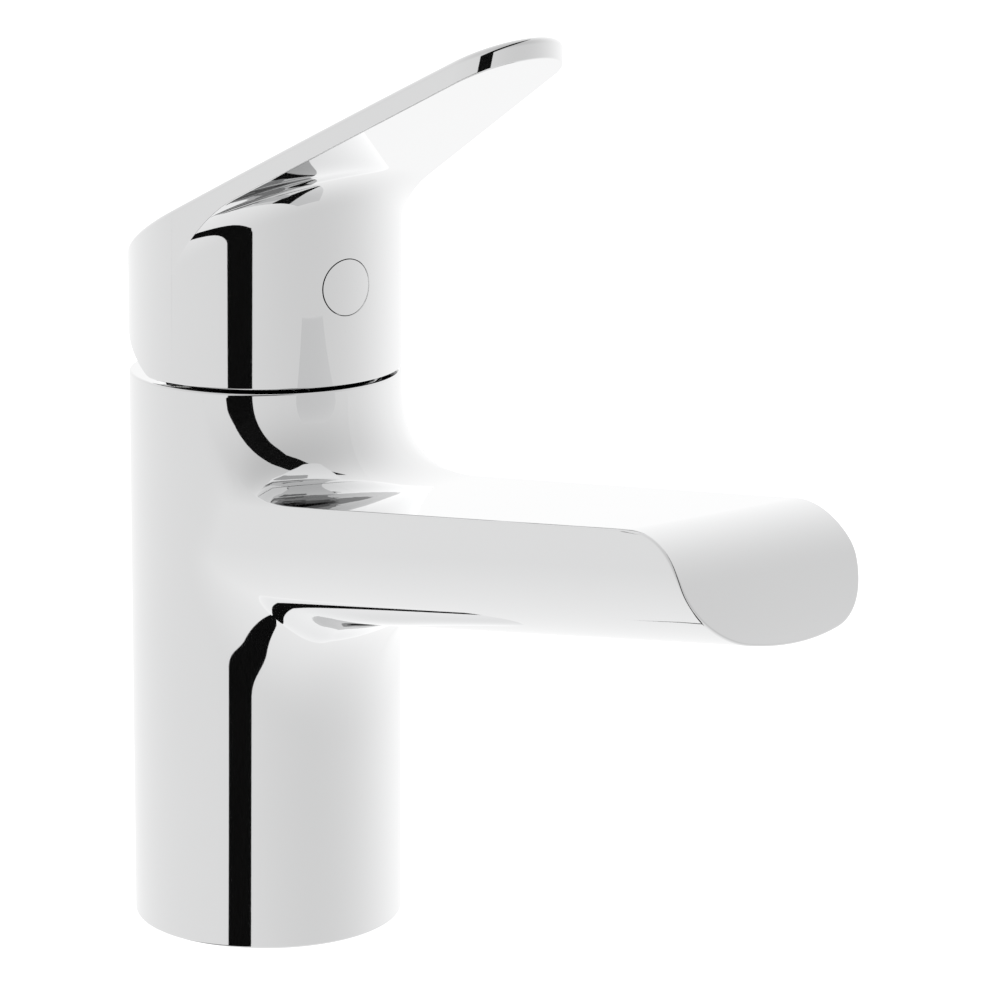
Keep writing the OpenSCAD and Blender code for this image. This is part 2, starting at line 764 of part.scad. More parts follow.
module handle() {
    heel = body_r + past;
    socket_w = sleeve_w + 0.2;
    socket_z = screw_z - screw_boss_r - past;
    color(chrome) front() difference() {
        handle_form();
        over_top();
        handle_hollow();
        upright(3 * body_d) polygon([
            [heel_s, handle_z], [heel_s, handle_z - past], [-heel, handle_z - past],
            [-heel, handle_z + (heel + heel_s) * tan(heel_slope)]
        ]);
        translate([-socket_w / 2, -socket_w / 2, socket_z])
            cube([socket_w, socket_w, socket_top_z - socket_z]);
        along(screw_r + 0.05, 0, cap_seat_s + past, screw_z);
        along(cap_r - cap_step + cap_gap, cap_seat_s, body_r, screw_z);
        along(cap_r + cap_gap, body_r - cap_depth - cap_gap, body_r + past, screw_z);
    }
}

module stem_sleeve() {
    color(white_plastic) front() difference() {
        translate([-sleeve_w / 2, -sleeve_w / 2, boss_z + 0.1])
            cube([sleeve_w, sleeve_w, stem_top_z - boss_z]);
        translate([-stem_w / 2 - 0.05, -stem_w / 2 - 0.05, boss_z - past])
            cube([stem_w + 0.1, stem_w + 0.1, stem_top_z - boss_z + 3 * past]);
        along(screw_r + 0.2, 0, sleeve_w, screw_z);
    }
}

module grub_screw() {
    from = stem_w / 2 + 0.05;
    color(steel) front() difference() {
        along(screw_r, from, from + screw_length, screw_z);
        translate([from + screw_length - 3, 0, screw_z]) rotate([0, 90, 0])
            cylinder(d = 2.5 / cos(30), h = 3 + past, $fn = 6);
    }
}

// The round cap sits flush with the handle, so its face is part of the same cylinder
module screw_cap() {
    color(chrome) front() intersection() {
        union() {
            along(cap_r, body_r - cap_depth, body_r + past, screw_z);
            along(cap_r - cap_step, cap_seat_s + cap_gap, body_r - cap_depth + 0.5, screw_z);
        }
        cylinder(r = body_r, h = 2 * body_h);
    }
}

// Aerator

module at_shell(z) {
    front() at_aerator() translate([0, 0, aerator_sunk + z]) children();
}

module aerator_shell() {
    key_slots = 2;
    color(chrome) at_shell(0) difference() {
        cylinder(r = aerator_r, h = aerator_h);
        translate([0, 0, 1.2]) cylinder(r = aerator_r - 1.7, h = aerator_h);
        translate([0, 0, -past]) cylinder(r = aerator_r - 3, h = aerator_h);
        for (i = [0 : key_slots - 1]) rotate([0, 0, 90 + i * 360 / key_slots])
            translate([aerator_r - 2.2, -1.5, -past]) cube([3, 3, 1 + past]);
    }
}

module aerator_seal() {
    color(rubber) at_shell(aerator_h + 0.05) ring(aerator_r, aerator_r - 3, seal_h - 0.1);
}

// A honeycomb of six-sided cells
module flow_straightener() {
    r = aerator_r - 1.8;
    pitch = 2.5;
    cell_r = 1.2;
    color(grey_plastic) at_shell(1.3) difference() {
        cylinder(r = r, h = 2.8);
        for (row = [-3 : 3]) for (col = [-3 : 3])
            let (p = pitch * [col + row / 2, row * sin(60)])
            if (norm(p) < r - cell_r - 0.4)
                translate([p[0], p[1], -past]) rotate([0, 0, 30])
                    cylinder(r = cell_r, h = 2.8 + 2 * past, $fn = 6);
    }
}

// A plate that breaks the water into a ring of jets
module jet_disc() {
    jets = 12;
    color(white_plastic) at_shell(4.2) difference() {
        cylinder(r = aerator_r - 1.8, h = 1.4);
        for (i = [0 : jets - 1]) rotate([0, 0, i * 360 / jets])
            translate([aerator_r - 4.4, 0, -past]) cylinder(r = 0.5, h = 1.4 + 2 * past, $fn = 16);
    }
}

module flow_limiter() {
    ribs = 6;
    color(grey_plastic) at_shell(5.7) {
        ring(aerator_r - 3.9, aerator_r - 5.1, 1.1);
        cylinder(r = 1.2, h = 1.1);
        for (i = [0 : ribs - 1]) rotate([0, 0, i * 360 / ribs])
            translate([1, -0.4, 0]) cube([aerator_r - 5.8, 0.8, 1.1]);
    }
}

// The strainer that stops grit, a shallow dome with rows of holes
module aerator_screen() {
    r = aerator_r - 3.2;
    color(steel) at_shell(6.9) difference() {
        cylinder(r1 = r, r2 = r - 2, h = 1.8);
        translate([0, 0, -0.5]) cylinder(r1 = r, r2 = r - 2, h = 1.8);
        for (ring_r = [1.3, 2.9]) let (count = round(ring_r * 3.4))
            for (i = [0 : count - 1]) rotate([0, 0, i * 360 / count])
                translate([ring_r, 0, -past]) cylinder(r = 0.4, h = 4, $fn = 6);
    }
}

body();
base_seal();
port_seals();
cartridge_base();
cartridge_housing();
disc_seals();
fixed_disc();
moving_disc();
disc_carrier();
rotor();
pivot_pin();
stem();
clamp_nut();
bonnet();
bonnet_oring();
handle();
stem_sleeve();
grub_screw();
screw_cap();
aerator_shell();
aerator_seal();
flow_straightener();
jet_disc();
flow_limiter();
aerator_screen();
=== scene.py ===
"""Single-lever basin mixer tap: the polished castings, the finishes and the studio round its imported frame."""
import json
import math
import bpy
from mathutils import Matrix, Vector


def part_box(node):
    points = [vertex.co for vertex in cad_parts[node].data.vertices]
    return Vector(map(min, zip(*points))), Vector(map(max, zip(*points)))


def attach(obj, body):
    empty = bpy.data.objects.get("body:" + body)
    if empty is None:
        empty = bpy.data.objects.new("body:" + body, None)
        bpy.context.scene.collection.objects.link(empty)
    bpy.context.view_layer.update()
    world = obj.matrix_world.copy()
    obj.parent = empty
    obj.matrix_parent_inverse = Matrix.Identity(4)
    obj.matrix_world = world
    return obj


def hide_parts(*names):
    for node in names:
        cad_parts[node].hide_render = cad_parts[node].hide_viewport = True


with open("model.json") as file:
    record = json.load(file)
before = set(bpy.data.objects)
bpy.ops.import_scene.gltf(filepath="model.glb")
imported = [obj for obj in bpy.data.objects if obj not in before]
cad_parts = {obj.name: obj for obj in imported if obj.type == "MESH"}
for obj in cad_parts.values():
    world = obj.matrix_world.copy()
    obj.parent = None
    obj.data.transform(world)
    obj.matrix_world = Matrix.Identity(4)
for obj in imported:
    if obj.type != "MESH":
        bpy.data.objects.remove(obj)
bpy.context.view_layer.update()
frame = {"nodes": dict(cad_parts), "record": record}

from types import SimpleNamespace

import bpy
import numpy as np
from bpy.props import FloatProperty, FloatVectorProperty, PointerProperty
from mathutils import Vector
from mathutils.geometry import delaunay_2d_cdt

bl_info = {
    "name": "Basin mixer tap",
    "version": (1, 0, 0),
    "blender": (4, 5, 0),
    "location": "3D View > Sidebar > Basin tap",
    "description": "Builds the tap's castings, finishes and studio round its packed frame",
    "category": "Add Mesh",
}

BODY_LOW, BODY_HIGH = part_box("body")


# Sizes and colours

def length(name, description, default_mm):
    """A size in the sidebar, given in millimetres and kept in metres."""
    return FloatProperty(
        name=name, description=description, default=default_mm / 1000, min=0, precision=5, unit="LENGTH"
    )


def angle(name, description, default_degrees):
    return FloatProperty(
        name=name, description=description, default=math.radians(default_degrees), subtype="ANGLE"
    )


def colour(name, description, default):
    return FloatVectorProperty(
        name=name, description=description, default=default, min=0, max=1, size=3, subtype="COLOR"
    )


def number(name, description, default):
    return FloatProperty(name=name, description=description, default=default)


def place(name, description, default):
    return FloatVectorProperty(
        name=name, description=description, default=default, size=3, precision=5,
        subtype="TRANSLATION", unit="LENGTH",
    )


class BodySizes(bpy.types.PropertyGroup):
    diameter: length("Diameter", "Round body and handle", (BODY_HIGH.x - BODY_LOW.x) * 1000)
    height: length("Height", "Up to the gap under the handle", BODY_HIGH.z * 1000)
    edge: length("Eased edge", "Rounding of the rim and the foot", 0.4)
    recess_wall: length("Foot wall", "Wall round the open base", 3.5)
    recess_depth: length("Recess depth", "Depth of the open base", 22)
    barrel: length("Cartridge bore radius", "Bore for the cartridge's barrel", 17.55)
    nut_bore: length("Nut bore radius", "Bore for the clamp nut", 18.975)
    mouth: length("Mouth radius", "Widest part of the bore, at the rim", 19.7)
    seat: length("Seat height", "Bottom of the cartridge bore", 66)


class SpoutSizes(bpy.types.PropertyGroup):
    reach: length("Reach", "From the body's axis to the lip", 130)
    drop: length("Drop", "From the rim down to the flat top, on the axis", 20)
    rise: angle("Rise", "Slope of the flat top", 7.94)
    root_width: length("Root width", "Flat top on the axis", 40.3)
    tip_width: length("Tip width", "Flat top at the lip", 32.5)
    swell: length("Swell", "How much wider the sides are than the flat top", 1.9)
    root_depth: length("Root depth", "Depth on the axis", 22.7)
    tip_depth: length("Tip depth", "Depth at the lip", 18.3)
    root_corner: length("Root corner", "Lower corner radius on the axis", 12.9)
    tip_corner: length("Tip corner", "Lower corner radius at the lip", 10.6)
    side_fillet: length("Side fillet", "Radius from the sides into the body", 16.25)
    low_fillet: length("Lower fillet", "Radius from the underside into the body", 18)
    top_softness: number("Upper softness", "How far the upper fillet runs out", 1.35)
    side_softness: number("Side softness", "How far the side fillet runs out", 1.22)
    low_softness: number("Lower softness", "How far the lower fillet runs out", 1.39)
    nose: length("Nose radius", "Rounded end of the flat top", 12)
    nose_slope: angle("Nose slope", "Steepest slope of the front face", 64)
    sweep: length("Sweep radius", "Hollow sweep from the nose to the lip", 45)
    sweep_run: length("Sweep run", "How far the sweep runs forward", 5.8)
    edge: length("Top edge", "Rounding between the top and the sides", 0.42)
    front_edge: length("Front edge", "Rounding round the nose and the sweep", 0.4)
    aerator_at: length("Aerator place", "Distance of the aerator from the body's axis", 111)
    aerator_bore: length("Aerator bore radius", "Bore under the spout", 9.3)


class HandleSizes(bpy.types.PropertyGroup):
    gap: length("Rim gap", "Gap between the body and the handle", 0.6)
    slope: angle("Slope", "Slope of the lever", 26.4)
    lift: length("Lift", "Lever's underside above the rim, on the axis", 23.3)
    thickness: length("Thickness", "Lever plate, measured straight up", 3.6)
    length: length("Length", "From the axis to the centre of the round end", 60.6)
    tip: length("Tip radius", "Round end of the lever", 10.4)
    fillet: length("Fillet", "Radius under the lever", 5.5)
    softness: number("Softness", "How far the fillet runs out", 1.3)
    top_edge: length("Top edge", "Rounding of the lever's upper edge", 0.9)
    low_edge: length("Lower edge", "Rounding of the lever's lower edge", 0.3)
    wall: length("Wall", "Wall of the hollow handle", 2.8)
    heel_start: length("Heel start", "How far behind the axis the heel's cut starts", 1.6)
    heel: angle("Heel", "Slope of the cut that clears the rim", 28.2)
    crown: length("Crown", "How far the top bows up lengthwise", 0.38)
    cap_height: length("Cap height", "Centre of the screw's cap above the basin", 111.8)
    cap_bore: length("Cap bore radius", "Hole for the screw's cap", 4.72)


class Finishes(bpy.types.PropertyGroup):
    chrome: colour("Chrome", "Polished chrome plate", (0.9, 0.902, 0.905))
    brass: colour("Brass", "Turned brass", (0.78, 0.57, 0.27))
    white_plastic: colour("White plastic", "Moulded acetal", (0.82, 0.82, 0.79))
    grey_plastic: colour("Grey plastic", "Moulded polymer", (0.36, 0.4, 0.44))
    rubber: colour("Rubber", "Moulded seals", (0.035, 0.035, 0.037))
    ceramic: colour("Ceramic", "Lapped discs", (0.9, 0.88, 0.82))
    steel: colour("Steel", "Turned stainless steel", (0.6, 0.61, 0.62))


class StudioSizes(bpy.types.PropertyGroup):
    camera_place: place("Camera", "Place of the camera", (-0.37254, -0.51593, 0.2192))
    camera_turn: angle("Camera turn", "From straight along +Y, clockwise from above", 37.403)
    camera_tilt: angle("Camera tilt", "Below the horizon", 11.539)
    lens: number("Lens", "Focal length in millimetres", 138.34)
    shift_right: number("Shift right", "Camera shift, as a share of the picture", 0.131)
    shift_up: number("Shift up", "Camera shift, as a share of the picture", -0.1)
    floor: colour("Floor", "Pale floor and background", (0.86, 0.86, 0.86))
    floor_width: length("Floor width", "Side of the floor", 8000)
    lamp_place: place("Lamp", "Place of the soft lamp", (-0.9, 0.35, 1.5))
    lamp_width: length("Lamp width", "Across the round lamp", 1200)
    lamp_power: number("Lamp power", "In watts", 14)
    wall_tone: number("Wall tone", "Studio walls to the sides", 0.77)
    wall_depth: number("Wall depth", "How much brighter they get behind the tap", 0.18)
    wall_fall: number("Wall fall", "How much brighter they get towards the floor", 0.12)
    card_distance: length("Card distance", "From the tap to the black card", 1300)
    ambient: number("Ambient", "Level of the studio for matt surfaces", 0.8)


def millimetres(group):
    """A group's sizes as plain numbers, with the lengths in millimetres and the angles in radians."""
    return SimpleNamespace(**{
        name: getattr(group, name) * (1000 if prop.unit == "LENGTH" else 1)
        for name, prop in group.bl_rna.properties.items() if prop.type == "FLOAT" and not prop.is_array
    })


# Points, directions and roundings. Points are in millimetres, as (towards the lip, across, up).

def mix(a, b, t):
    return a + (b - a) * t


def unit(v):
    v = np.asarray(v, float)
    return v / np.maximum(np.linalg.norm(v, axis=-1, keepdims=True), 1e-12)


def dot(a, b):
    return np.sum(a * b, axis=-1, keepdims=True)


def turning(a, b, steps):
    """Directions that turn evenly from a to b."""
    w = np.maximum(np.arccos(np.clip(dot(a, b), -1, 1)), 1e-6)
    t = np.linspace(0, 1, steps + 1).reshape(-1, *[1] * max(np.ndim(a), np.ndim(b)))
    return unit(a * np.sin((1 - t) * w) + b * np.sin(t * w))


def eased(edge, n1, n2, radius, steps=4):
    """A rounding of the edge between faces with the normals n1 and n2, as its points and normals."""
    normals = turning(n1, n2, steps)
    return edge - radius * (n1 + n2) / (1 + dot(n1, n2)) + radius * normals, normals


def soft_corner(centre, ball, spread, n1, n2, bend, steps):
    """A corner between faces with the normals n1 and n2, as deep as a ball's but softer. spread says how much
    further out than the ball's it starts, centre belongs to the ball so enlarged, and bend is how sharply the
    second face itself curves away along the corner."""
    cosine = dot(n1, n2)
    slant = np.sqrt((1 + cosine) / 2)
    reach = spread * ball * np.sqrt((1 - cosine) / (1 + cosine))
    into1, into2 = unit(cosine * n1 - n2), unit(cosine * n2 - n1)
    # The curve is of the fifth degree. These shares of the reach place its second and third points
    near = 0.35
    far = 1.6 - 1.6 / (spread * (1 + slant)) - near / 2
    start, end = centre - spread * ball * n1, centre - spread * ball * n2
    level = into2 * [1, 1, 0]
    curl = bend * dot(level, level) * 1.25 * (near * reach) ** 2 * n2
    poles = [
        start, start + near * reach * into1, start + far * reach * into1,
        end + far * reach * into2 - curl, end + near * reach * into2, end,
    ]
    t = np.linspace(0, 1, steps + 1).reshape(-1, 1, 1)
    return sum(math.comb(5, k) * t ** k * (1 - t) ** (5 - k) * pole for k, pole in enumerate(poles))


def across_normals(points, first, last, guide):
    """Normals of a grid of points, worked out from its shape, with exact ones in the first and last row."""
    down, along = np.gradient(points, axis=0), np.gradient(points, axis=1)
    normals = unit(np.cross(down, along))
    normals *= np.where(dot(normals, guide) < 0, -1, 1)
    normals[0], normals[-1] = first, last
    return normals


def picked(rows_of, rows):
    """Points between the rows of each column, at rows that may lie between two of them."""
    low = np.minimum(rows.astype(int), len(rows_of) - 2)
    columns = np.arange(rows_of.shape[1])
    return mix(rows_of[low, columns], rows_of[low + 1, columns], (rows - low)[..., None])


def around(azimuth, radius, z):
    """Points at azimuths from the spout's direction."""
    return np.stack(np.broadcast_arrays(radius * np.cos(azimuth), radius * np.sin(azimuth), z), -1)


def radial(azimuth):
    return around(azimuth, 1.0, 0.0)


def to_world(v, scale=0.001):
    """From (towards the lip, across, up) to the frame's X, Y and Z."""
    return np.stack([v[..., 1], -v[..., 0], v[..., 2]], -1) * scale


def level_out(points):
    """Level directions away from the axis."""
    return unit(points * [1, 1, 0])


def inside(point, loop):
    """Whether a flat point lies inside a loop."""
    x, y = point
    crossed = False
    for (ax, ay), (bx, by) in zip(loop, loop[1:] + loop[:1]):
        if (ay > y) != (by > y) and x < ax + (y - ay) * (bx - ax) / (by - ay):
            crossed = not crossed
    return crossed


def placed(name, data):
    """A new object in the scene."""
    thing = bpy.data.objects.new(name, data)
    bpy.context.scene.collection.objects.link(thing)
    return thing


OTHER_SIDE = np.array([1, -1, 1])
# Points closer than this, in millimetres, become one
WELD = 1e-3
# Azimuths for round holes
CIRCLE, HALF_CIRCLE = np.linspace(0, 2 * math.pi, 73)[:-1], np.linspace(0, math.pi, 25)


class Skin:
    """Collects grids and patches of a surface with their exact normals, and welds them into one piece."""

    def __init__(self):
        self.points, self.normals, self.faces, self.count = [], [], [], 0

    def add(self, points, normals, faces):
        points = np.asarray(points, float).reshape(-1, 3)
        self.points.append(points)
        self.normals.append(unit(np.asarray(normals).reshape(-1, 3)))
        self.faces += [[self.count + i for i in face] for face in faces]
        self.count += len(points)

    def cells(self, points, normals, skip=None):
        """Rows of points as a grid. Cells where skip is true are left open."""
        at = np.arange(points.shape[0] * points.shape[1]).reshape(points.shape[:2])
        cells = np.stack([at[:-1, :-1], at[1:, :-1], at[1:, 1:], at[:-1, 1:]], -1)
        keep = np.ones(cells.shape[:2], bool) if skip is None else ~skip
        self.add(points, np.broadcast_to(normals, points.shape), cells[keep].tolist())

    def grid(self, points, normals, skip=None):
        """A grid on one side of the plane through the spout, and its copy on the other side."""
        normals = np.broadcast_to(normals, points.shape)
        self.cells(points, normals, skip)
        self.cells(points * OTHER_SIDE, normals * OTHER_SIDE, skip)

    def across(self, points, normals, steps):
        """Rows that run from each point straight to its mirror image."""
        share = np.linspace(-1, 1, 2 * steps + 1)
        rows = np.repeat(points[:, None], len(share), 1)
        rows[..., 1] = points[:, 1:2] * share
        self.cells(rows, normals[:, None])

    def fill(self, flat, points, normals, loops):
        """Fills the first loop of points, which flat lays out flat, and leaves the other loops open."""
        edges = [(loop[i - 1], loop[i]) for loop in loops for i in range(len(loop))]
        found = delaunay_2d_cdt([Vector(p) for p in flat], edges, [], 0, 1e-7)
        places, triangles, origin = found[0], found[2], found[3]
        outlines = [[tuple(flat[i]) for i in loop] for loop in loops]
        faces = []
        for triangle in triangles:
            middle = sum((places[i] for i in triangle), Vector((0, 0))) / 3
            if inside(middle, outlines[0]) and not any(inside(middle, hole) for hole in outlines[1:]):
                faces.append([origin[i][0] for i in triangle])
        self.add(points, np.broadcast_to(normals, np.shape(points)), faces)

    def plate(self, rings, normal, plan=(0, 1)):
        """A flat face inside the first ring of points, with the others as its holes."""
        points = np.concatenate(rings)
        starts = np.cumsum([0] + [len(ring) for ring in rings])
        loops = [list(range(a, b)) for a, b in zip(starts[:-1], starts[1:])]
        self.fill(points[:, plan].tolist(), points, normal, loops)

    def wall(self, rings, normals):
        """The wall through rings of points, one above the other."""
        rings, normals = np.array(rings), np.broadcast_to(normals, np.shape(rings))
        self.cells(np.concatenate([rings, rings[:, :1]], 1), np.concatenate([normals, normals[:, :1]], 1))

    def turned(self, azimuths, corners):
        """Turns a path of (radius, height, easing) about the axis. Its right-hand side faces outwards."""
        corners = np.array(corners, float)
        along = unit(np.diff(corners[:, :2], axis=0))
        out = np.stack([along[:, 1], -along[:, 0]], -1)
        points, normals = [corners[0, :2]], [out[0]]
        for k in range(1, len(corners) - 1):
            bead, bead_normals = eased(corners[k, :2], out[k - 1], out[k], corners[k, 2])
            points += list(bead)
            normals += list(bead_normals)
        points, normals = np.array(points + [corners[-1, :2]]), np.array(normals + [out[-1]])
        self.grid(around(azimuths[None], points[:, :1], points[:, 1:]),
                  around(azimuths[None], normals[:, :1], normals[:, 1:]))

    def piece(self, name, material):
        """The welded mesh, with each face turned to agree with its normals."""
        points, normals = np.concatenate(self.points), np.concatenate(self.normals)
        _, first, joined = np.unique(
            np.round(points / WELD).astype(np.int64), axis=0, return_index=True, return_inverse=True
        )
        joined = joined.reshape(-1)
        faces, corners = [], []
        for face in self.faces:
            face = [i for k, i in enumerate(face) if joined[i] != joined[face[k - 1]]]
            if len(set(joined[face])) < 3:
                continue
            p = points[face]
            area = sum(np.cross(p[k] - p[0], p[k + 1] - p[0]) for k in range(1, len(p) - 1))
            if np.linalg.norm(area) < 1e-7:
                continue
            if area @ normals[face].sum(0) < 0:
                face = face[::-1]
            faces.append(joined[face].tolist())
            corners += face
        mesh = bpy.data.meshes.new(name)
        mesh.from_pydata(to_world(points[first]).tolist(), [], faces)
        mesh.shade_smooth()
        mesh.normals_split_custom_set(to_world(normals[corners], 1).tolist())
        mesh.materials.append(material)
        return placed(name, mesh)


def ring_loop(azimuths, radius, z, middle=(0, 0)):
    """A closed ring of points from azimuths that cover half a turn."""
    whole = np.concatenate([azimuths, -azimuths[-2:0:-1]])
    return around(whole, radius, z) + np.array([*middle, 0])


# The body with its spout

TOP_STEPS, EDGE_STEPS, SIDE_STEPS, CORNER_STEPS, BELLY_STEPS = 8, 10, 16, 26, 10
TUBE_STEPS, FILLET_STEPS, BACK_STEPS = 22, 22, 42
FINE_STEPS, MITRE_STEPS = 400, 12
# The section's line at the lower end of the top's rounded edge
SIDE_LINE = TOP_STEPS + EDGE_STEPS
BELLY_TURN = math.radians(12)
# The fillet's ball takes its direction from the spout's section this far along it
BALL_SHARE = 0.2
# How far round the body the flat top may reach
FOOT_SWEEP = 1.3
# How far up the side keeps its lean above its upper line, in millimetres
LEAN_REACH = 6
# The mitre's edge fades from this far along the spout, over this run towards the body, in millimetres
FADE_START, FADE_RUN = 29, 10
# The holes in the open base's ceiling, as (place, radius, depth)
BASE_HOLES = (((-5, 7.5), 4.5, 12), ((-5, -7.5), 4.5, 12), ((9, 0), 3.4, 14))
# The seal's groove in the foot: the walls left on both sides of it, and its depth
GROOVE_WALL, GROOVE_DEPTH = 0.9, 1.2
# How far below the rim the cartridge bore's mouth and the clamp nut's bore end
MOUTH_DEPTH, NUT_DEPTH = 0.6, 7.5
# The aerator's bore: how deep its shelf and its end lie, and its radius beyond the shelf
SHELF, CHAMBER_END, CHAMBER = 10.4, 14.4, 7.45
# Room round the aerator's bore for the cells that join it to the spout's skin, in millimetres
BORE_MARGIN, BORE_CLEARANCE = 1.5, 0.9


def half_section(top_width, corner, depth, spout):
    """Half of the spout's section, from the middle of the top round to the middle of the underside, as across
    and up, and the normal across and up."""
    w = top_width / 2
    cx = w + spout.swell / 2 - corner
    cy = depth - corner - cx * math.tan(BELLY_TURN / 2)
    lean = math.atan2(cy, w - cx) - math.acos(corner / math.hypot(w - cx, cy))
    belly = corner + cx / math.sin(BELLY_TURN)
    up, side = np.array([0.0, 1.0]), np.array([math.cos(lean), math.sin(lean)])
    edge, edge_normals = eased(np.array([w, 0.0]), up, side, spout.edge, EDGE_STEPS)
    top = np.stack([np.linspace(0, edge[0, 0], TOP_STEPS + 1), np.zeros(TOP_STEPS + 1)], -1)
    middle = np.array([cx, -cy])
    share = (np.arange(1, SIDE_STEPS + 1) / SIDE_STEPS)[:, None] ** 2
    flank = mix(edge[-1], middle + corner * side, share)
    a = np.linspace(lean, BELLY_TURN - math.pi / 2, CORNER_STEPS + 1)[1:]
    round_normals = np.stack([np.cos(a), np.sin(a)], -1)
    b = BELLY_TURN * (1 - np.arange(1, BELLY_STEPS + 1) / BELLY_STEPS)
    belly_normals = np.stack([np.sin(b), -np.cos(b)], -1)
    points = [
        top, edge[1:], flank, middle + corner * round_normals, [0, belly - depth] + belly * belly_normals,
    ]
    normals = [
        np.broadcast_to(up, top.shape), edge_normals[1:], np.broadcast_to(side, flank.shape),
        round_normals, belly_normals,
    ]
    return np.concatenate([np.concatenate(points), np.concatenate(normals)], -1)


class SpoutForm:
    """The spout's skin, as straight lines from its root section to its tip section."""

    def __init__(self, body, sizes):
        self.body, self.sizes = body, sizes
        self.root = half_section(sizes.root_width, sizes.root_corner, sizes.root_depth, sizes)
        self.tip = half_section(sizes.tip_width, sizes.tip_corner, sizes.tip_depth, sizes)
        self.top = body.height - sizes.drop
        slope = (self.tip[:, :2] - self.root[:, :2]) / sizes.reach
        count = len(self.root)
        self.line = np.stack([np.ones(count), slope[:, 0], slope[:, 1] + math.tan(sizes.rise)], -1)
        self.start = np.stack([np.zeros(count), self.root[:, 0], self.top + self.root[:, 1]], -1)

    def at(self, s):
        return self.start + self.line * np.asarray(s)[..., None]

    def normal(self, share):
        n = mix(self.root[:, 2:], self.tip[:, 2:], np.asarray(share)[..., None])
        along = -(n[..., 0] * self.line[:, 1] + n[..., 1] * self.line[:, 2])
        return unit(np.stack([along, n[..., 0], n[..., 1]], -1))

    def rolling_ball(self):
        """The ball between each side or lower line and the body, and where it touches the line."""
        face, sizes = self.normal(BALL_SHARE), self.sizes
        downwards = np.maximum(-face[:, 2:], 0)
        ball = mix(sizes.side_fillet, sizes.low_fillet, downwards)
        spread = mix(sizes.side_softness, sizes.low_softness, downwards)
        r, g = spread * ball, self.line
        p = self.start + r * face
        a = dot(g[:, :2], g[:, :2])
        b = dot(p[:, :2], g[:, :2])
        c = dot(p[:, :2], p[:, :2]) - (self.body.diameter / 2 + r) ** 2
        s = (np.sqrt(b * b - a * c) - b) / a
        return p + g * s, ball, spread, face, s[:, 0]

    def top_contacts(self, contact):
        """Starts the flat top's lines at the upper fillet's foot, and gives the azimuths of those places."""
        sweep = np.linspace(0, FOOT_SWEEP, FINE_STEPS)
        foot = self.upper_fillet(sweep)[0][0]
        turn = [
            np.interp(0, foot[:, 1] - start - line * foot[:, 0], sweep)
            for start, line in zip(self.start[:TOP_STEPS + 1, 1], self.line[:TOP_STEPS + 1, 1])
        ]
        contact[:TOP_STEPS + 1] = np.interp(turn, sweep, foot[:, 0])
        contact[TOP_STEPS:SIDE_LINE] = contact[TOP_STEPS]
        return turn

    def upper_fillet(self, azimuth):
        """Columns of the fillet from the flat top up to the body's rim, and their normals."""
        body, rise, spread = self.body, self.sizes.rise, self.sizes.top_softness
        radius, out = body.diameter / 2, radial(azimuth)
        climb = out[:, :1] * math.tan(rise)
        wide = (body.height - body.edge - self.top - radius * climb) / (climb + 1 / math.cos(rise))
        centre = out * (radius + wide)
        centre[:, 2:] = self.top + centre[:, :1] * math.tan(rise) + wide / math.cos(rise)
        face = np.broadcast_to([-math.sin(rise), 0, math.cos(rise)], out.shape)
        fine = soft_corner(centre, wide / spread, spread, face, out, 1 / radius, FINE_STEPS)
        return fine, across_normals(fine, face, out, turning(face, out, FINE_STEPS))

    def front(self):
        """Where each line meets the nose or the sweep, and the front's normal there."""
        sizes = self.sizes
        rise, steepest = sizes.rise, np.array([math.sin(sizes.nose_slope), math.cos(sizes.nose_slope)])
        nose_s = sizes.reach - sizes.sweep_run - sizes.nose * (math.sin(rise) + steepest[0])
        nose = np.array([nose_s, self.top + nose_s * math.tan(rise)])
        nose += sizes.nose * np.array([math.sin(rise), -math.cos(rise)])
        sweep = nose + (sizes.nose + sizes.sweep) * steepest

        def meet(middle, radius, sign):
            a = 1 + self.line[:, 2] ** 2
            b = self.line[:, 2] * (self.start[:, 2] - middle[1]) - middle[0]
            c = middle[0] ** 2 + (self.start[:, 2] - middle[1]) ** 2 - radius ** 2
            return (-b + sign * np.sqrt(np.maximum(b * b - a * c, 0))) / a

        s = meet(nose, sizes.nose, 1)
        hollow = self.at(s)[:, 2] < nose[1] + sizes.nose * steepest[1]
        s = np.where(hollow, meet(sweep, sizes.sweep, -1), s)
        p = self.at(s)
        out = unit(np.where(hollow[:, None], sweep - p[:, ::2], p[:, ::2] - nose))
        return p, np.stack([out[:, 0], np.zeros(len(s)), out[:, 1]], -1), s


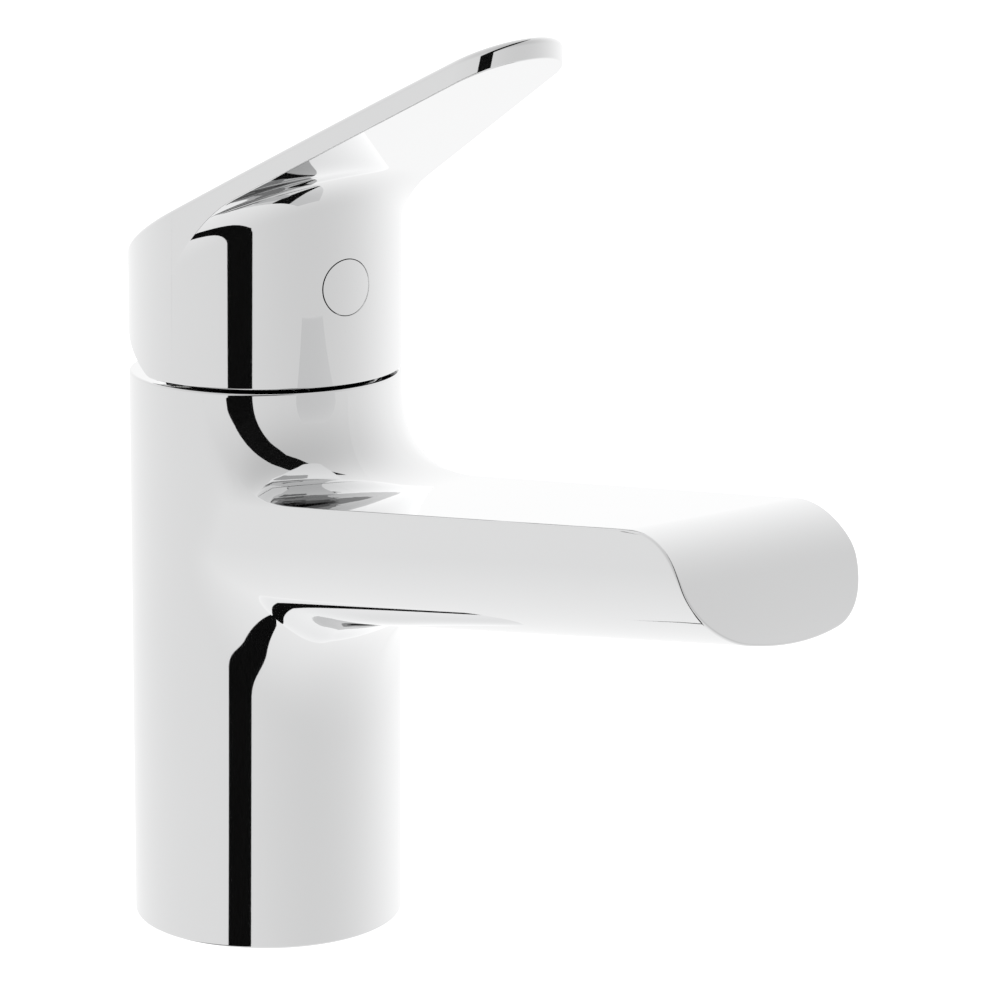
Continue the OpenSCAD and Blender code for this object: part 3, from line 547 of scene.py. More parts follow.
def cast_body(body, spout):
    """The whole casting: the spout, its fillets, the round body, the foot, the rim and the bores."""
    skin, form = Skin(), SpoutForm(body, spout)
    radius = body.diameter / 2
    centre, ball, spread, face, contact = form.rolling_ball()
    turn = form.top_contacts(contact)
    tube, above, normals = cast_spout(skin, form, contact)

    # The ball's fillet along the side and lower lines
    centre, ball, spread, face = (part[SIDE_LINE:] for part in (centre, ball, spread, face))
    out = level_out(centre)
    fillet = soft_corner(centre, ball, spread, face, out, 1 / radius, FILLET_STEPS)
    fillet[0] = tube[0, SIDE_LINE:]
    fillet[-1] = around(np.arctan2(out[:, 1], out[:, 0]), radius, fillet[-1, :, 2])
    fillet_normals = across_normals(fillet, normals[SIDE_LINE:], out, turning(face, out, FILLET_STEPS))
    skin.grid(fillet, fillet_normals)

    # The side's upper line, from the round body along the fillet and the spout to the flat top's corner
    reach = np.linspace(tube[0, SIDE_LINE, 0], contact[SIDE_LINE], MITRE_STEPS + 1)[1:, None]
    flank = form.at(reach)[:, SIDE_LINE]
    low = np.concatenate([fillet[::-1, 0], flank])
    flank_normals = np.broadcast_to(fillet_normals[0, 0], flank.shape)
    low_normals = np.concatenate([fillet_normals[::-1, 0], flank_normals])
    upper = cast_upper_fillet(skin, form, turn, low, low_normals, above, normals)
    cast_round_body(skin, body, np.concatenate([upper, fillet[-1]]))
    return skin


def cast_spout(skin, form, contact):
    """The spout from the fillets to its front. Gives its rows, its first row as it is above the side's upper
    line, and the first row's normals."""
    reach = form.sizes.reach
    edge, front_normals, front_s = form.front()
    side_normals = form.normal(front_s / reach)
    easing = form.sizes.front_edge * np.sqrt(np.maximum(1 + dot(side_normals, front_normals), 0.1))
    bead, bead_normals = eased(edge, side_normals, front_normals, easing, 6)
    share = np.linspace(0, 1, TUBE_STEPS + 1)[:, None]
    normals = form.normal(mix(BALL_SHARE, front_s / reach, share))
    normals[-1] = side_normals

    def rows(contact):
        tube = form.at(mix(contact, bead[0, :, 0], share))
        tube[-1] = bead[0]
        return tube

    tube = rows(contact)
    taken = aerator_seat(skin, form, tube, normals)
    skin.grid(tube[:, SIDE_LINE:], normals[:, SIDE_LINE:], taken[:, SIDE_LINE:])
    contact[SIDE_LINE] = contact[TOP_STEPS]
    above = rows(contact)
    skin.grid(above[:, :SIDE_LINE + 1], normals[:, :SIDE_LINE + 1])
    skin.grid(bead, bead_normals)
    skin.across(bead[-1, TOP_STEPS:], front_normals[TOP_STEPS:], TOP_STEPS)
    return tube, above[0], normals[0]


def cast_upper_fillet(skin, form, turn, low, low_normals, above, above_normals):
    """The fillet from the flat top to the rim, and its mitre with the side, which is carried on upwards from
    its upper line, low. Gives the fillet's last row."""
    radius = form.body.diameter / 2
    lean = -low_normals[:, 2] / low_normals[:, 1]

    def past_side(points):
        beside, height, slant = (
            np.interp(points[..., 0], low[:, 0], part) for part in (low[:, 1], low[:, 2], lean)
        )
        up = np.maximum(points[..., 2] - height, 0)
        return points[..., 1] - beside - slant * up / (1 + up / LEAN_REACH)

    def columns_at(azimuth):
        """Columns of the fillet with their normals, and the rows where they leave the side behind."""
        fine, normals = form.upper_fillet(azimuth)
        gap = past_side(fine)
        row = np.where((gap <= 0).any(0), np.argmax(gap <= 0, 0), FINE_STEPS)
        columns = np.arange(len(azimuth))
        over, under = gap[np.maximum(row - 1, 0), columns], gap[row, columns]
        rows = np.where((row > 0) & (under <= 0), row - under / (under - over - 1e-9), row)
        return fine, normals, np.clip(rows, 0, FINE_STEPS)

    # The columns start opposite the points of the side's upper line
    guess = np.linspace(turn[-1], math.atan2(low[0, 1], low[0, 0]), FINE_STEPS // 2)
    fine, _, cut = columns_at(guess)
    azimuths = np.interp(-low[:, 0], -picked(fine, cut[None])[0, :, 0], guess)
    azimuths[-1] = turn[-1]
    azimuths = np.concatenate([turn[:-1], azimuths[::-1]])
    fine, fine_normals, cut = columns_at(azimuths)
    cut[:TOP_STEPS + 1] = 0
    rows = cut + (FINE_STEPS - cut) * np.linspace(0, 1, FILLET_STEPS + 1)[:, None]
    upper, normals = picked(fine, rows), unit(picked(fine_normals, rows))
    upper[-1] = around(azimuths, radius, upper[-1, :, 2])

    corner, beside = slice(TOP_STEPS, None), low_normals[::-1]
    over = normals[0, corner].copy()
    seam, seam_normals = eased(upper[0, corner], over, beside, form.sizes.edge, EDGE_STEPS)
    seam[:, 0], seam_normals[:, 0] = above[TOP_STEPS:SIDE_LINE + 1], above_normals[TOP_STEPS:SIDE_LINE + 1]
    upper[0, corner], upper[0, :TOP_STEPS] = seam[0], above[:TOP_STEPS]

    # The mitre's edge fades away towards the round body
    soft = np.clip((FADE_START - low[::-1, :1]) / FADE_RUN, 0, 1)
    middle = unit(over + beside)
    nearness = (1 - np.linspace(0, 1, FILLET_STEPS + 1)[:, None, None]) ** 2
    normals[:, corner] = unit(normals[:, corner] + nearness * soft * (middle - over))
    skin.grid(upper, normals)
    skin.grid(seam, unit(mix(seam_normals, middle, soft)))
    skin.grid(np.stack([seam[-1], low[::-1]]), np.stack([unit(mix(beside, middle, soft)), beside]))
    return upper[-1]


def cast_round_body(skin, body, join):
    """The round body beyond the points where the fillets join it, with its bores and its open base."""
    radius = body.diameter / 2
    rim_z, foot_z = body.height - body.edge, body.edge
    azimuth = np.arctan2(join[:, 1], join[:, 0])
    widest = int(np.argmax(azimuth))
    for part, z in ((slice(0, widest + 1), rim_z), (slice(widest, None), foot_z)):
        skin.grid(np.stack([join[part], around(azimuth[part], radius, z)]), radial(azimuth[part]))
    back = np.linspace(azimuth[widest], math.pi, BACK_STEPS + 1)
    heights = np.array([[foot_z], [join[widest, 2]], [rim_z]])
    skin.grid(around(back[None], radius, heights), radial(back))
    above = np.concatenate([azimuth[:widest], back])
    below = np.concatenate([azimuth[:widest:-1], back])

    mouth_z, nut_z = body.height - MOUTH_DEPTH, body.height - NUT_DEPTH
    skin.turned(above, [
        (radius, rim_z, 0), (radius, body.height, body.edge), (body.mouth, body.height, 0.15),
        (body.mouth, mouth_z, 0), (body.nut_bore, mouth_z, 0.1), (body.nut_bore, nut_z, 0),
        (body.barrel, nut_z, 0), (body.barrel, body.seat, 0),
    ])
    skin.plate([ring_loop(above, body.barrel, body.seat)], (0, 0, 1))

    recess = radius - body.recess_wall
    groove_in, groove_out = recess + GROOVE_WALL, radius - GROOVE_WALL
    skin.turned(below, [
        (recess, body.recess_depth, 0), (recess, 0, 0.25), (groove_in, 0, 0.1), (groove_in, GROOVE_DEPTH, 0),
        (groove_out, GROOVE_DEPTH, 0), (groove_out, 0, 0.1), (radius, 0, body.edge), (radius, foot_z, 0),
    ])
    mouths = [ring_loop(HALF_CIRCLE, r, body.recess_depth, middle) for middle, r, _ in BASE_HOLES]
    skin.plate([ring_loop(below, recess, body.recess_depth)] + mouths, (0, 0, -1))
    for mouth, (middle, r, depth) in zip(mouths, BASE_HOLES):
        end = mouth + [0, 0, depth]
        skin.wall([mouth, end], unit(np.array([*middle, body.recess_depth]) - mouth))
        skin.plate([end], (0, 0, -1))


def aerator_seat(skin, form, tube, normals):
    """Lets the aerator's bore into the spout's underside, and says which cells of the skin it takes."""
    sizes = form.sizes
    r, at = sizes.aerator_bore, sizes.aerator_at
    slope = math.atan(form.line[-1, 2])
    origin = np.array([at, 0, form.start[-1, 2] + at * form.line[-1, 2]])
    inwards = np.array([-math.sin(slope), 0, math.cos(slope)])
    forward = np.array([math.cos(slope), 0, math.sin(slope)])

    # The block of cells round the bore, on both sides
    reach = r + BORE_MARGIN
    low = len(form.root) - CORNER_STEPS - BELLY_STEPS
    first = max(k for k in range(low, len(form.root)) if tube[:, k, 1].min() > reach)
    rows = [i for i in range(len(tube)) if tube[i, first:, 0].max() < at - reach][-1:]
    rows += [i for i in range(len(tube)) if tube[i, first:, 0].min() > at + reach][:1]
    taken = np.zeros((len(tube) - 1, len(form.root) - 1), bool)
    taken[rows[0]:rows[1], first:] = True
    block, block_normals = tube[rows[0]:rows[1] + 1, first:], normals[rows[0]:rows[1] + 1, first:]
    block = np.concatenate([block, block[:, -2::-1] * OTHER_SIDE], 1)
    block_normals = np.concatenate([block_normals, block_normals[:, -2::-1] * OTHER_SIDE], 1)

    # The bore's edge, where its cylinder meets the underside
    out = np.cos(CIRCLE)[:, None] * forward + np.sin(CIRCLE)[:, None] * np.array([0, 1, 0])
    rim, rim_normals = origin + r * out, np.zeros_like(out)
    for i, p in enumerate(rim):
        for _ in range(6):
            line, n = form.at(p[0])[low:][::-1], form.normal(p[0] / sizes.reach)[low:][::-1]
            p += inwards * (np.interp(abs(p[1]), line[:, 1], line[:, 2]) - p[2])
        rim_normals[i] = [np.interp(abs(p[1]), line[:, 1], n[:, axis]) for axis in range(3)]
        rim_normals[i, 1] *= np.sign(p[1])
    bead, bead_normals = eased(rim, unit(rim_normals), -out, 0.22, 3)
    skin.wall(bead, bead_normals)

    count, width = block.shape[:2]
    at_grid = np.arange(count * width).reshape(count, width)
    outline = [*at_grid[0], *at_grid[1:, -1], *at_grid[-1, -2::-1], *at_grid[-2:0:-1, 0]]
    cells, cell_normals = block.reshape(-1, 3), block_normals.reshape(-1, 3)
    off_axis = cells - origin - dot(cells - origin, inwards) * inwards
    clear = np.linalg.norm(off_axis, axis=1) > r + BORE_CLEARANCE
    kept = sorted(set(np.nonzero(clear)[0]) | set(outline))
    new = {old: i for i, old in enumerate(kept)}
    hole = [len(kept) + i for i in range(len(bead[0]))]
    points = np.concatenate([cells[kept], bead[0]])
    skin.fill(points[:, :2].tolist(), points, np.concatenate([cell_normals[kept], bead_normals[0]]),
              [[new[i] for i in outline], hole])

    def ring(radius, depth):
        return origin + radius * out + depth * inwards

    skin.wall([bead[-1], ring(r, SHELF)], -out)
    skin.wall([ring(r, SHELF), ring(CHAMBER, SHELF)], -inwards)
    skin.wall([ring(CHAMBER, SHELF), ring(CHAMBER, CHAMBER_END)], -out)
    skin.plate([ring(CHAMBER, CHAMBER_END)], -inwards)
    return taken


# The handle with its lever

REAR_STEPS, EDGE_COLUMNS, SIDE_COLUMNS, TIP_COLUMNS, UNDER_STEPS = 36, 15, 12, 28, 12
# The crown's highest place along the lever and its half length, in millimetres
CROWN_AT, CROWN_HALF = 33, 44
# How far below the lever's top the hollow's ceiling is
CEILING = 3.2
# The boss's radius and its lower end, and the square socket's half width and depth
BOSS, BOSS_END, SOCKET, SOCKET_DEPTH = 9.5, 108, 5.3, 7
# The front of the wall that is filled round the cap's hole, as an azimuth, and the hole's depth in the middle
CAP_AZIMUTH, CAP_DEPTH = 0.32, 4.62


class HandleForm:
    """The heights of the handle's faces along the spout's direction, with their normals."""

    def __init__(self, body, sizes):
        self.sizes = sizes
        self.climb, self.heel = math.tan(sizes.slope), math.tan(sizes.heel)
        self.under_z, self.foot_z = body.height + sizes.lift, body.height + sizes.gap

    def under(self, s):
        return self.under_z + s * self.climb

    def top(self, s):
        crown = self.sizes.crown * (1 - ((s - CROWN_AT) / CROWN_HALF) ** 2)
        return self.under(s) + self.sizes.thickness + crown

    def top_normal(self, s):
        bow = self.sizes.crown * 2 * (s - CROWN_AT) / CROWN_HALF ** 2
        return unit(np.stack([bow - self.climb, 0 * s, 0 * s + 1], -1))

    def foot(self, s):
        """The lower edge, with the heel cut away behind."""
        x = np.clip(-self.sizes.heel_start - s, -1, None)
        return self.foot_z + self.heel * np.where(x < 1, (x + 1) ** 2 / 4, x)

    def foot_normal(self, s):
        x = np.clip(-self.sizes.heel_start - s, -1, 1)
        return unit(np.stack([-self.heel * (x + 1) / 2, 0 * s, 0 * s - 1], -1))

    def fillet(self, front, radius, sideways):
        """The fillet between the lever's underside and the round handle, cut off at the lever's side. Gives
        its rows, their normals and the underside's."""
        sizes, out = self.sizes, radial(front)
        wide = sizes.softness * sizes.fillet
        centre = around(front, radius + wide, 0.0)
        centre[:, 2:] = self.under(centre[:, :1]) - wide / math.cos(sizes.slope)
        touch = np.broadcast_to([math.sin(sizes.slope), 0, -math.cos(sizes.slope)], out.shape)
        fine = soft_corner(centre, sizes.fillet, sizes.softness, touch, out, 1 / radius, FINE_STEPS)
        fine_normals = across_normals(fine, touch, out, turning(touch, out, FINE_STEPS))
        fine_normals[:, 0] = out[0]
        beyond = fine @ sideways > radius
        cut = np.where(np.arange(len(front)) < EDGE_COLUMNS, beyond.sum(0), 0)
        cut[0] = FINE_STEPS
        share = np.linspace(0, 1, UNDER_STEPS + 1)[:, None]
        rows, columns = np.round(cut + (FINE_STEPS - cut) * share).astype(int), np.arange(len(front))
        fillet = fine[rows, columns]
        fillet[-1, :, :2] = out[:, :2] * radius
        return fillet, fine_normals[rows, columns], touch


def cast_handle(body, handle):
    """The hollow handle with its lever, the fillet under it and the hole for the screw's cap."""
    skin, form = Skin(), HandleForm(body, handle)
    radius, wide = body.diameter / 2, handle.softness * handle.fillet
    leave = math.asin((radius - handle.tip) / handle.length)
    sideways = np.array([math.sin(leave), math.cos(leave), 0])
    forwards = np.array([math.cos(leave), -math.sin(leave), 0])

    # Azimuths of the columns: behind, where the lever's side cuts the fillet, and under the lever
    tangent = math.pi / 2 - leave
    inward = math.asin((radius + wide * math.sin(handle.slope) * math.sin(leave)) / (radius + wide)) - leave
    rear = np.linspace(math.pi, tangent, REAR_STEPS + 1)
    front = np.concatenate([
        np.linspace(tangent, inward, EDGE_COLUMNS + 1),
        np.linspace(inward, 0, SIDE_COLUMNS + TIP_COLUMNS + 1)[1:],
    ])
    whole = np.concatenate([rear[:-1], front])
    fillet, fillet_normals, touch = form.fillet(front, radius, sideways)

    # The lever's outline from the round handle to the tip
    at_fillet = slice(0, EDGE_COLUMNS + 1)
    start = dot(fillet[0, EDGE_COLUMNS] - radius * sideways, forwards)
    share = np.linspace(start, handle.length * math.cos(leave), SIDE_COLUMNS + 1)[1:]
    tip = np.linspace(tangent, 0, TIP_COLUMNS + 1)[1:]
    outline = np.concatenate([
        fillet[0, at_fillet] * [1, 1, 0], radius * sideways + share * forwards,
        around(tip, handle.tip, 0.0) + [handle.length, 0, 0],
    ])
    outline[at_fillet] += (radius - outline[at_fillet] @ sideways)[:, None] * sideways
    outwards = np.concatenate([np.broadcast_to(sideways, (len(front) - TIP_COLUMNS, 3)), radial(tip)])
    low_edge = outline + form.under(outline[:, :1]) * [0, 0, 1]
    low_edge[at_fillet, 2] = fillet[0, at_fillet, 2]
    beneath = np.concatenate([fillet_normals[0, at_fillet], touch[EDGE_COLUMNS + 1:]])
    low, low_normals = eased(low_edge, beneath, outwards, handle.low_edge, 3)
    fillet[0, at_fillet] = low[0, at_fillet]

    # The upper edge and the top
    rim = np.concatenate([around(rear[:-1], radius, 0.0), outline])
    rim_out = np.concatenate([radial(rear[:-1]), outwards])
    over = form.top_normal(rim[:, 0])
    high, high_normals = eased(rim + form.top(rim[:, :1]) * [0, 0, 1], rim_out, over, handle.top_edge, 6)
    skin.grid(high, high_normals)
    skin.across(high[-1], form.top_normal(high[-1, :, 0]), 6)
    skin.grid(np.stack([low[-1], high[0, REAR_STEPS:]]), outwards)
    skin.grid(low, low_normals)
    skin.grid(np.stack([fillet[0], low[0]]), touch)
    skin.grid(fillet, fillet_normals)

    # The lower edge and the round wall
    hem = around(whole, radius, form.foot(radius * np.cos(whole)))
    bead, bead_normals = eased(hem, form.foot_normal(hem[:, 0]), radial(whole), 0.25, 3)
    skin.grid(bead, bead_normals)
    behind_low, behind_high = bead[-1, :REAR_STEPS + 1], high[0, :REAR_STEPS + 1]
    split = (fillet[-1, 0, 2] - behind_low[-1, 2]) / (behind_high[-1, 2] - behind_low[-1, 2])
    skin.grid(np.stack([behind_low, mix(behind_low, behind_high, split), behind_high]), radial(rear))
    wall = np.stack([bead[-1, REAR_STEPS:], fillet[-1]])
    pierced = int(np.argmax(front < CAP_AZIMUTH))
    taken = np.arange(len(front) - 1)[None] >= pierced
    skin.grid(wall, radial(front), taken)
    cap_hole(skin, wall[:, pierced:], front[pierced:], radius, handle)
    cast_hollow(skin, form, radius - handle.wall, whole, bead[0])
    return skin


def cast_hollow(skin, form, inner, whole, hem):
    """The handle's hollow inside its hem, with the boss and its square socket."""
    hem_in = around(whole, inner, form.foot(inner * np.cos(whole)))
    skin.grid(np.stack([hem_in, hem]), np.stack([form.foot_normal(row[:, 0]) for row in (hem_in, hem)]))

    def to_ceiling(points):
        return points * [1, 1, 0] + (form.under(points[:, :1]) + form.sizes.thickness - CEILING) * [0, 0, 1]

    ceiling = to_ceiling(hem_in)
    skin.grid(np.stack([hem_in, ceiling]), -radial(whole))
    ring = np.concatenate([ceiling, ceiling[-2:0:-1] * OTHER_SIDE])
    boss = to_ceiling(ring_loop(HALF_CIRCLE, BOSS, 0.0))
    boss_end = boss * [1, 1, 0] + [0, 0, BOSS_END]
    socket = np.array([[1, 1, 0], [-1, 1, 0], [-1, -1, 0], [1, -1, 0]]) * SOCKET + [0, 0, BOSS_END]
    socket_end = socket + [0, 0, SOCKET_DEPTH]
    skin.plate([ring, boss], unit([form.climb, 0, -1]))
    skin.wall([boss, boss_end], level_out(boss))
    skin.plate([boss_end, socket], (0, 0, -1))
    for k in range(4):
        side = [k - 1, k]
        skin.cells(np.stack([socket[side], socket_end[side]]), -level_out(socket[side].mean(0)))
    skin.plate([socket_end], (0, 0, -1))


def cap_hole(skin, wall, azimuths, radius, handle):
    """Fills the front of the handle's wall round the hole for the screw's cap, and lines the hole."""
    across, up = np.cos(CIRCLE), np.sin(CIRCLE)
    l, z = handle.cap_bore * across, handle.cap_height + handle.cap_bore * up
    edge = np.stack([np.sqrt(radius ** 2 - l ** 2), l, z], -1)
    to_axis = np.stack([0 * across, -across, -up], -1)
    bead, bead_normals = eased(edge, level_out(edge), to_axis, 0.14, 3)
    skin.wall(bead, bead_normals)
    end = bead[-1] * [0, 1, 1] + [radius - CAP_DEPTH, 0, 0]
    skin.wall([bead[-1], end], to_axis)
    skin.plate([end], (1, 0, 0), (1, 2))
    wall = np.concatenate([wall, wall[:, -2::-1] * OTHER_SIDE], 1)
    azimuths = np.concatenate([azimuths, -azimuths[-2::-1]])
    loop = np.concatenate([wall[0], wall[1, ::-1]])
    loop_azimuths = np.concatenate([azimuths, azimuths[::-1]])
    hole = bead[0]
    hole_azimuths = np.arctan2(hole[:, 1], hole[:, 0])
    points = np.concatenate([loop, hole])
    flat = np.stack([np.concatenate([loop_azimuths, hole_azimuths]) * radius, points[:, 2]], -1)
    loops = [list(range(len(loop))), list(range(len(loop), len(points)))]
    skin.fill(flat.tolist(), points, level_out(points), loops)


# Finishes

class Value:
    """A number in a node tree. Arithmetic on it adds Math nodes."""

    def __init__(self, nodes, socket):
        self.nodes, self.socket = nodes, socket

    def math(self, operation, a, b):
        return self.nodes.add("ShaderNodeMath", {"operation": operation}, {0: a, 1: b})

    def __add__(self, other):
        return self.math("ADD", self, other)

    __radd__ = __add__

    def __sub__(self, other):
        return self.math("SUBTRACT", self, other)

    def __rsub__(self, other):
        return self.math("SUBTRACT", other, self)

    def __mul__(self, other):
        return self.math("MULTIPLY", self, other)

    __rmul__ = __mul__

    def __truediv__(self, other):
        return self.math("DIVIDE", self, other)

    def __rtruediv__(self, other):
        return self.math("DIVIDE", other, self)


class Nodes:
    """The nodes of one material or of the world."""

    def __init__(self, tree):
        tree.nodes.clear()
        self.tree = tree

    def add(self, kind, settings, sockets, output=0):
        """Adds a node with its settings, then its sockets' values or links, and gives one of its outputs."""
        node = self.tree.nodes.new(kind)
        for name, value in settings.items():
            setattr(node, name, value)
        for name, value in sockets.items():
            if isinstance(value, Value):
                self.tree.links.new(value.socket, node.inputs[name])
            else:
                node.inputs[name].default_value = value
        return Value(self, node.outputs[output]) if node.outputs else node

    def place(self, stretch=(1, 1, 1)):
        """Where the surface is, in millimetres, with each axis stretched."""
        spot = self.add("ShaderNodeTexCoord", {}, {}, "Object")
        stretched = [1000 * share for share in stretch]
        return self.add("ShaderNodeVectorMath", {"operation": "MULTIPLY"}, {0: spot, 1: stretched})

    def noise(self, size_mm, detail=2.0, stretch=(1, 1, 1)):
        """Noise of that grain size, from 0 to 1."""
        sockets = {"Vector": self.place(stretch), "Scale": 1 / size_mm, "Detail": detail, "Roughness": 0.55}
        return self.add("ShaderNodeTexNoise", {}, sockets)

    def tint(self, share, low, high):
        """A colour between two others."""
        return self.add("ShaderNodeMix", {"data_type": "RGBA"}, {0: share, 6: (*low, 1), 7: (*high, 1)}, 2)

    def bump(self, height, depth_mm):
        return self.add("ShaderNodeBump", {}, {"Height": height, "Distance": depth_mm / 1000})


def darker(tone, share):
    return [part * share for part in tone]


def blank_material(name):
    """A new material and its empty node tree."""
    material = bpy.data.materials.new(name)
    material.use_nodes = True
    return material, Nodes(material.node_tree)


def finish(name, varied, fixed):
    """A material. varied(nodes) gives what changes over the surface, and fixed what doesn't."""
    material, nodes = blank_material(name)
    shader = nodes.add("ShaderNodeBsdfPrincipled", {}, {**varied(nodes), **fixed})
    nodes.add("ShaderNodeOutputMaterial", {}, {"Surface": shader})
    return material


def chrome(tone):
    """Polished plate: a mirror with a breath of haze and the faintest waves left by the buff."""
    def varied(nodes):
        haze = nodes.noise(19, 3)
        fine = nodes.noise(1.1, 4)
        return {
            "Base Color": nodes.tint(haze, darker(tone, 0.985), tone),
            "Roughness": 0.022 + haze * 0.014 + fine * 0.008,
            "Normal": nodes.bump(nodes.noise(6.5, 1), 0.0006),
        }
    return finish("polished_chrome", varied, {"Metallic": 1.0})


def lathed(name, rings_mm, rough):
    """Metal with soft stains and the fine rings that a lathe leaves."""
    return grained(
        name, (4.5, 3), (rings_mm, 3, (0.02, 0.02, 1)), 0.012, (rough - 0.06, 0.05, 0.1), {"Metallic": 1.0},
        dull=0.84,
    )


def moulded(name, rough, depth_mm):
    """Moulded polymer with soft patches of flow and a fine spark-eroded grain."""
    return grained(name, (9, 3), (0.3, 2), depth_mm, (rough - 0.04, 0.05, 0.08), {"IOR": 1.49}, dull=0.93)


def grained(name, patches, relief, depth_mm, rough, fixed, dull=1.0, bloom=0.0):
    """A maker of finishes with patches and a fine relief, each a noise given by its grain in mm, detail and
    stretch. rough holds the roughness and what the patches and the relief add to it, dull is the share of the
    colour in the darkest patches, and bloom is added in the palest ones."""
    def maker(tone):
        def varied(nodes):
            patch, fine = nodes.noise(*patches), nodes.noise(*relief)
            return {
                "Base Color": nodes.tint(patch, darker(tone, dull), [part + bloom for part in tone]),
                "Roughness": rough[0] + patch * rough[1] + fine * rough[2],
                "Normal": nodes.bump(fine, depth_mm),
            }
        return finish(name, varied, fixed)
    return maker


MAKERS = {
    "chrome": chrome,
    "brass": lathed("turned_brass", 0.11, 0.22),
    "white_plastic": moulded("white_acetal", 0.38, 0.006),
    "grey_plastic": moulded("grey_polymer", 0.44, 0.008),
    # Black seal rubber with a dusty bloom
    "rubber": grained("seal_rubber", (3.2, 4), (0.16, 2), 0.012, (0.5, 0.22, 0), {"IOR": 1.52}, bloom=0.022),
    # Lapped ceramic: smooth faces with pale cloudy grains
    "ceramic": grained("lapped_ceramic", (2.4, 4), (0.2, 2), 0.002, (0.1, 0.1, 0), {"IOR": 1.7}, dull=0.95),
    "steel": lathed("turned_steel", 0.09, 0.2),
}
SLOTS = {part["node"]: part["material_slot"] for part in frame["record"]["subparts"]}
BODIES = {node: name for name, nodes in frame["record"]["behaviour"]["bodies"].items() for node in nodes}
finished = {}


def material_for(context, node):
    """The finish of a node's material slot, made once."""
    slot = SLOTS[node]
    if slot not in finished:
        finished[slot] = MAKERS[slot](list(getattr(context.scene.tap_finishes, slot)))
    return finished[slot]


def stands_for(piece, node):
    """The piece replaces the node and moves with its body."""
    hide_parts(node)
    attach(piece, BODIES[node])


def dress(context, *nodes):
    """Gives CAD nodes their finishes."""
    for node in nodes:
        for slot in frame["nodes"][node].material_slots:
            slot.material = material_for(context, node)


# Operators

class TAP_OT_body(bpy.types.Operator):
    """Cast the body with its spout, bores and open foot"""
    bl_idname = "tap.body"
    bl_label = "Body and spout"

    def execute(self, context):
        skin = cast_body(millimetres(context.scene.tap_body), millimetres(context.scene.tap_spout))
        stands_for(skin.piece("body_casting", material_for(context, "body")), "body")
        dress(context, "base_seal")
        return {"FINISHED"}


class TAP_OT_handle(bpy.types.Operator):
    """Cast the handle with its lever"""
    bl_idname = "tap.handle"
    bl_label = "Handle and lever"

    def execute(self, context):
        skin = cast_handle(millimetres(context.scene.tap_body), millimetres(context.scene.tap_handle))
        stands_for(skin.piece("handle_casting", material_for(context, "handle")), "handle")
        return {"FINISHED"}


class TAP_OT_handle_fixings(bpy.types.Operator):
    """Finish the stem's sleeve, the clamping screw and its cap"""
    bl_idname = "tap.handle_fixings"
    bl_label = "Handle fixings"

    def execute(self, context):
        dress(context, "stem_sleeve", "grub_screw", "screw_cap")
        return {"FINISHED"}


class TAP_OT_rings(bpy.types.Operator):
    """Finish the clamp nut, the bonnet and its ring"""
    bl_idname = "tap.rings"
    bl_label = "Clamp nut and bonnet"

    def execute(self, context):
        dress(context, "clamp_nut", "bonnet", "bonnet_oring")
        return {"FINISHED"}


class TAP_OT_cartridge(bpy.types.Operator):
    """Finish the ceramic cartridge"""
    bl_idname = "tap.cartridge"
    bl_label = "Cartridge"

    def execute(self, context):
        dress(
            context, "cartridge_base", "cartridge_housing", "port_seals", "disc_seals", "fixed_disc",
            "moving_disc", "disc_carrier", "rotor", "pivot_pin", "stem",
        )
        return {"FINISHED"}


class TAP_OT_aerator(bpy.types.Operator):
    """Finish the aerator under the spout"""
    bl_idname = "tap.aerator"
    bl_label = "Aerator"

    def execute(self, context):
        dress(
            context, "aerator_shell", "aerator_seal", "flow_straightener", "jet_disc", "flow_limiter",
            "aerator_screen",
        )
        return {"FINISHED"}


class TAP_OT_stage(bpy.types.Operator):
    """Set the floor, the black card, the studio walls, the lamp and the camera"""
    bl_idname = "tap.stage"
    bl_label = "Studio"

    def execute(self, context):
        scene, studio = context.scene, context.scene.tap_studio
        camera = placed("camera", bpy.data.cameras.new("camera"))
        camera.location = studio.camera_place
        camera.rotation_euler = (math.pi / 2 - studio.camera_tilt, 0, -studio.camera_turn)
        camera.data.lens = studio.lens
        camera.data.shift_x, camera.data.shift_y = studio.shift_right, studio.shift_up
        scene.camera = camera

        half = studio.floor_width / 2
        corners = [(-half, -half, 0), (half, -half, 0), (half, half, 0), (-half, half, 0)]
        floor = sheet("floor", corners, [(0, 1, 2, 3)], floor_finish(studio))
        floor.visible_glossy = False

        facing = math.atan2(-studio.camera_place[0], -studio.camera_place[1])
        card = black_card(studio, facing)
        card.visible_camera = card.visible_diffuse = card.visible_shadow = False
        card.visible_transmission = False

        lamp = placed("key_lamp", bpy.data.lights.new("key_lamp", "AREA"))
        lamp.data.shape, lamp.data.size = "DISK", studio.lamp_width
        lamp.data.energy = studio.lamp_power
        lamp.location = studio.lamp_place
        lamp.rotation_euler = Vector(lamp.location).to_track_quat("Z", "Y").to_euler()
        lamp.visible_glossy = False

        studio_walls(scene, studio, facing)
        scene.view_settings.view_transform = "Standard"
        return {"FINISHED"}


def sheet(name, points, faces, material):
    """A thin piece of the stage."""
    mesh = bpy.data.meshes.new(name)
    mesh.from_pydata(points, [], faces)
    mesh.materials.append(material)
    return placed(name, mesh)


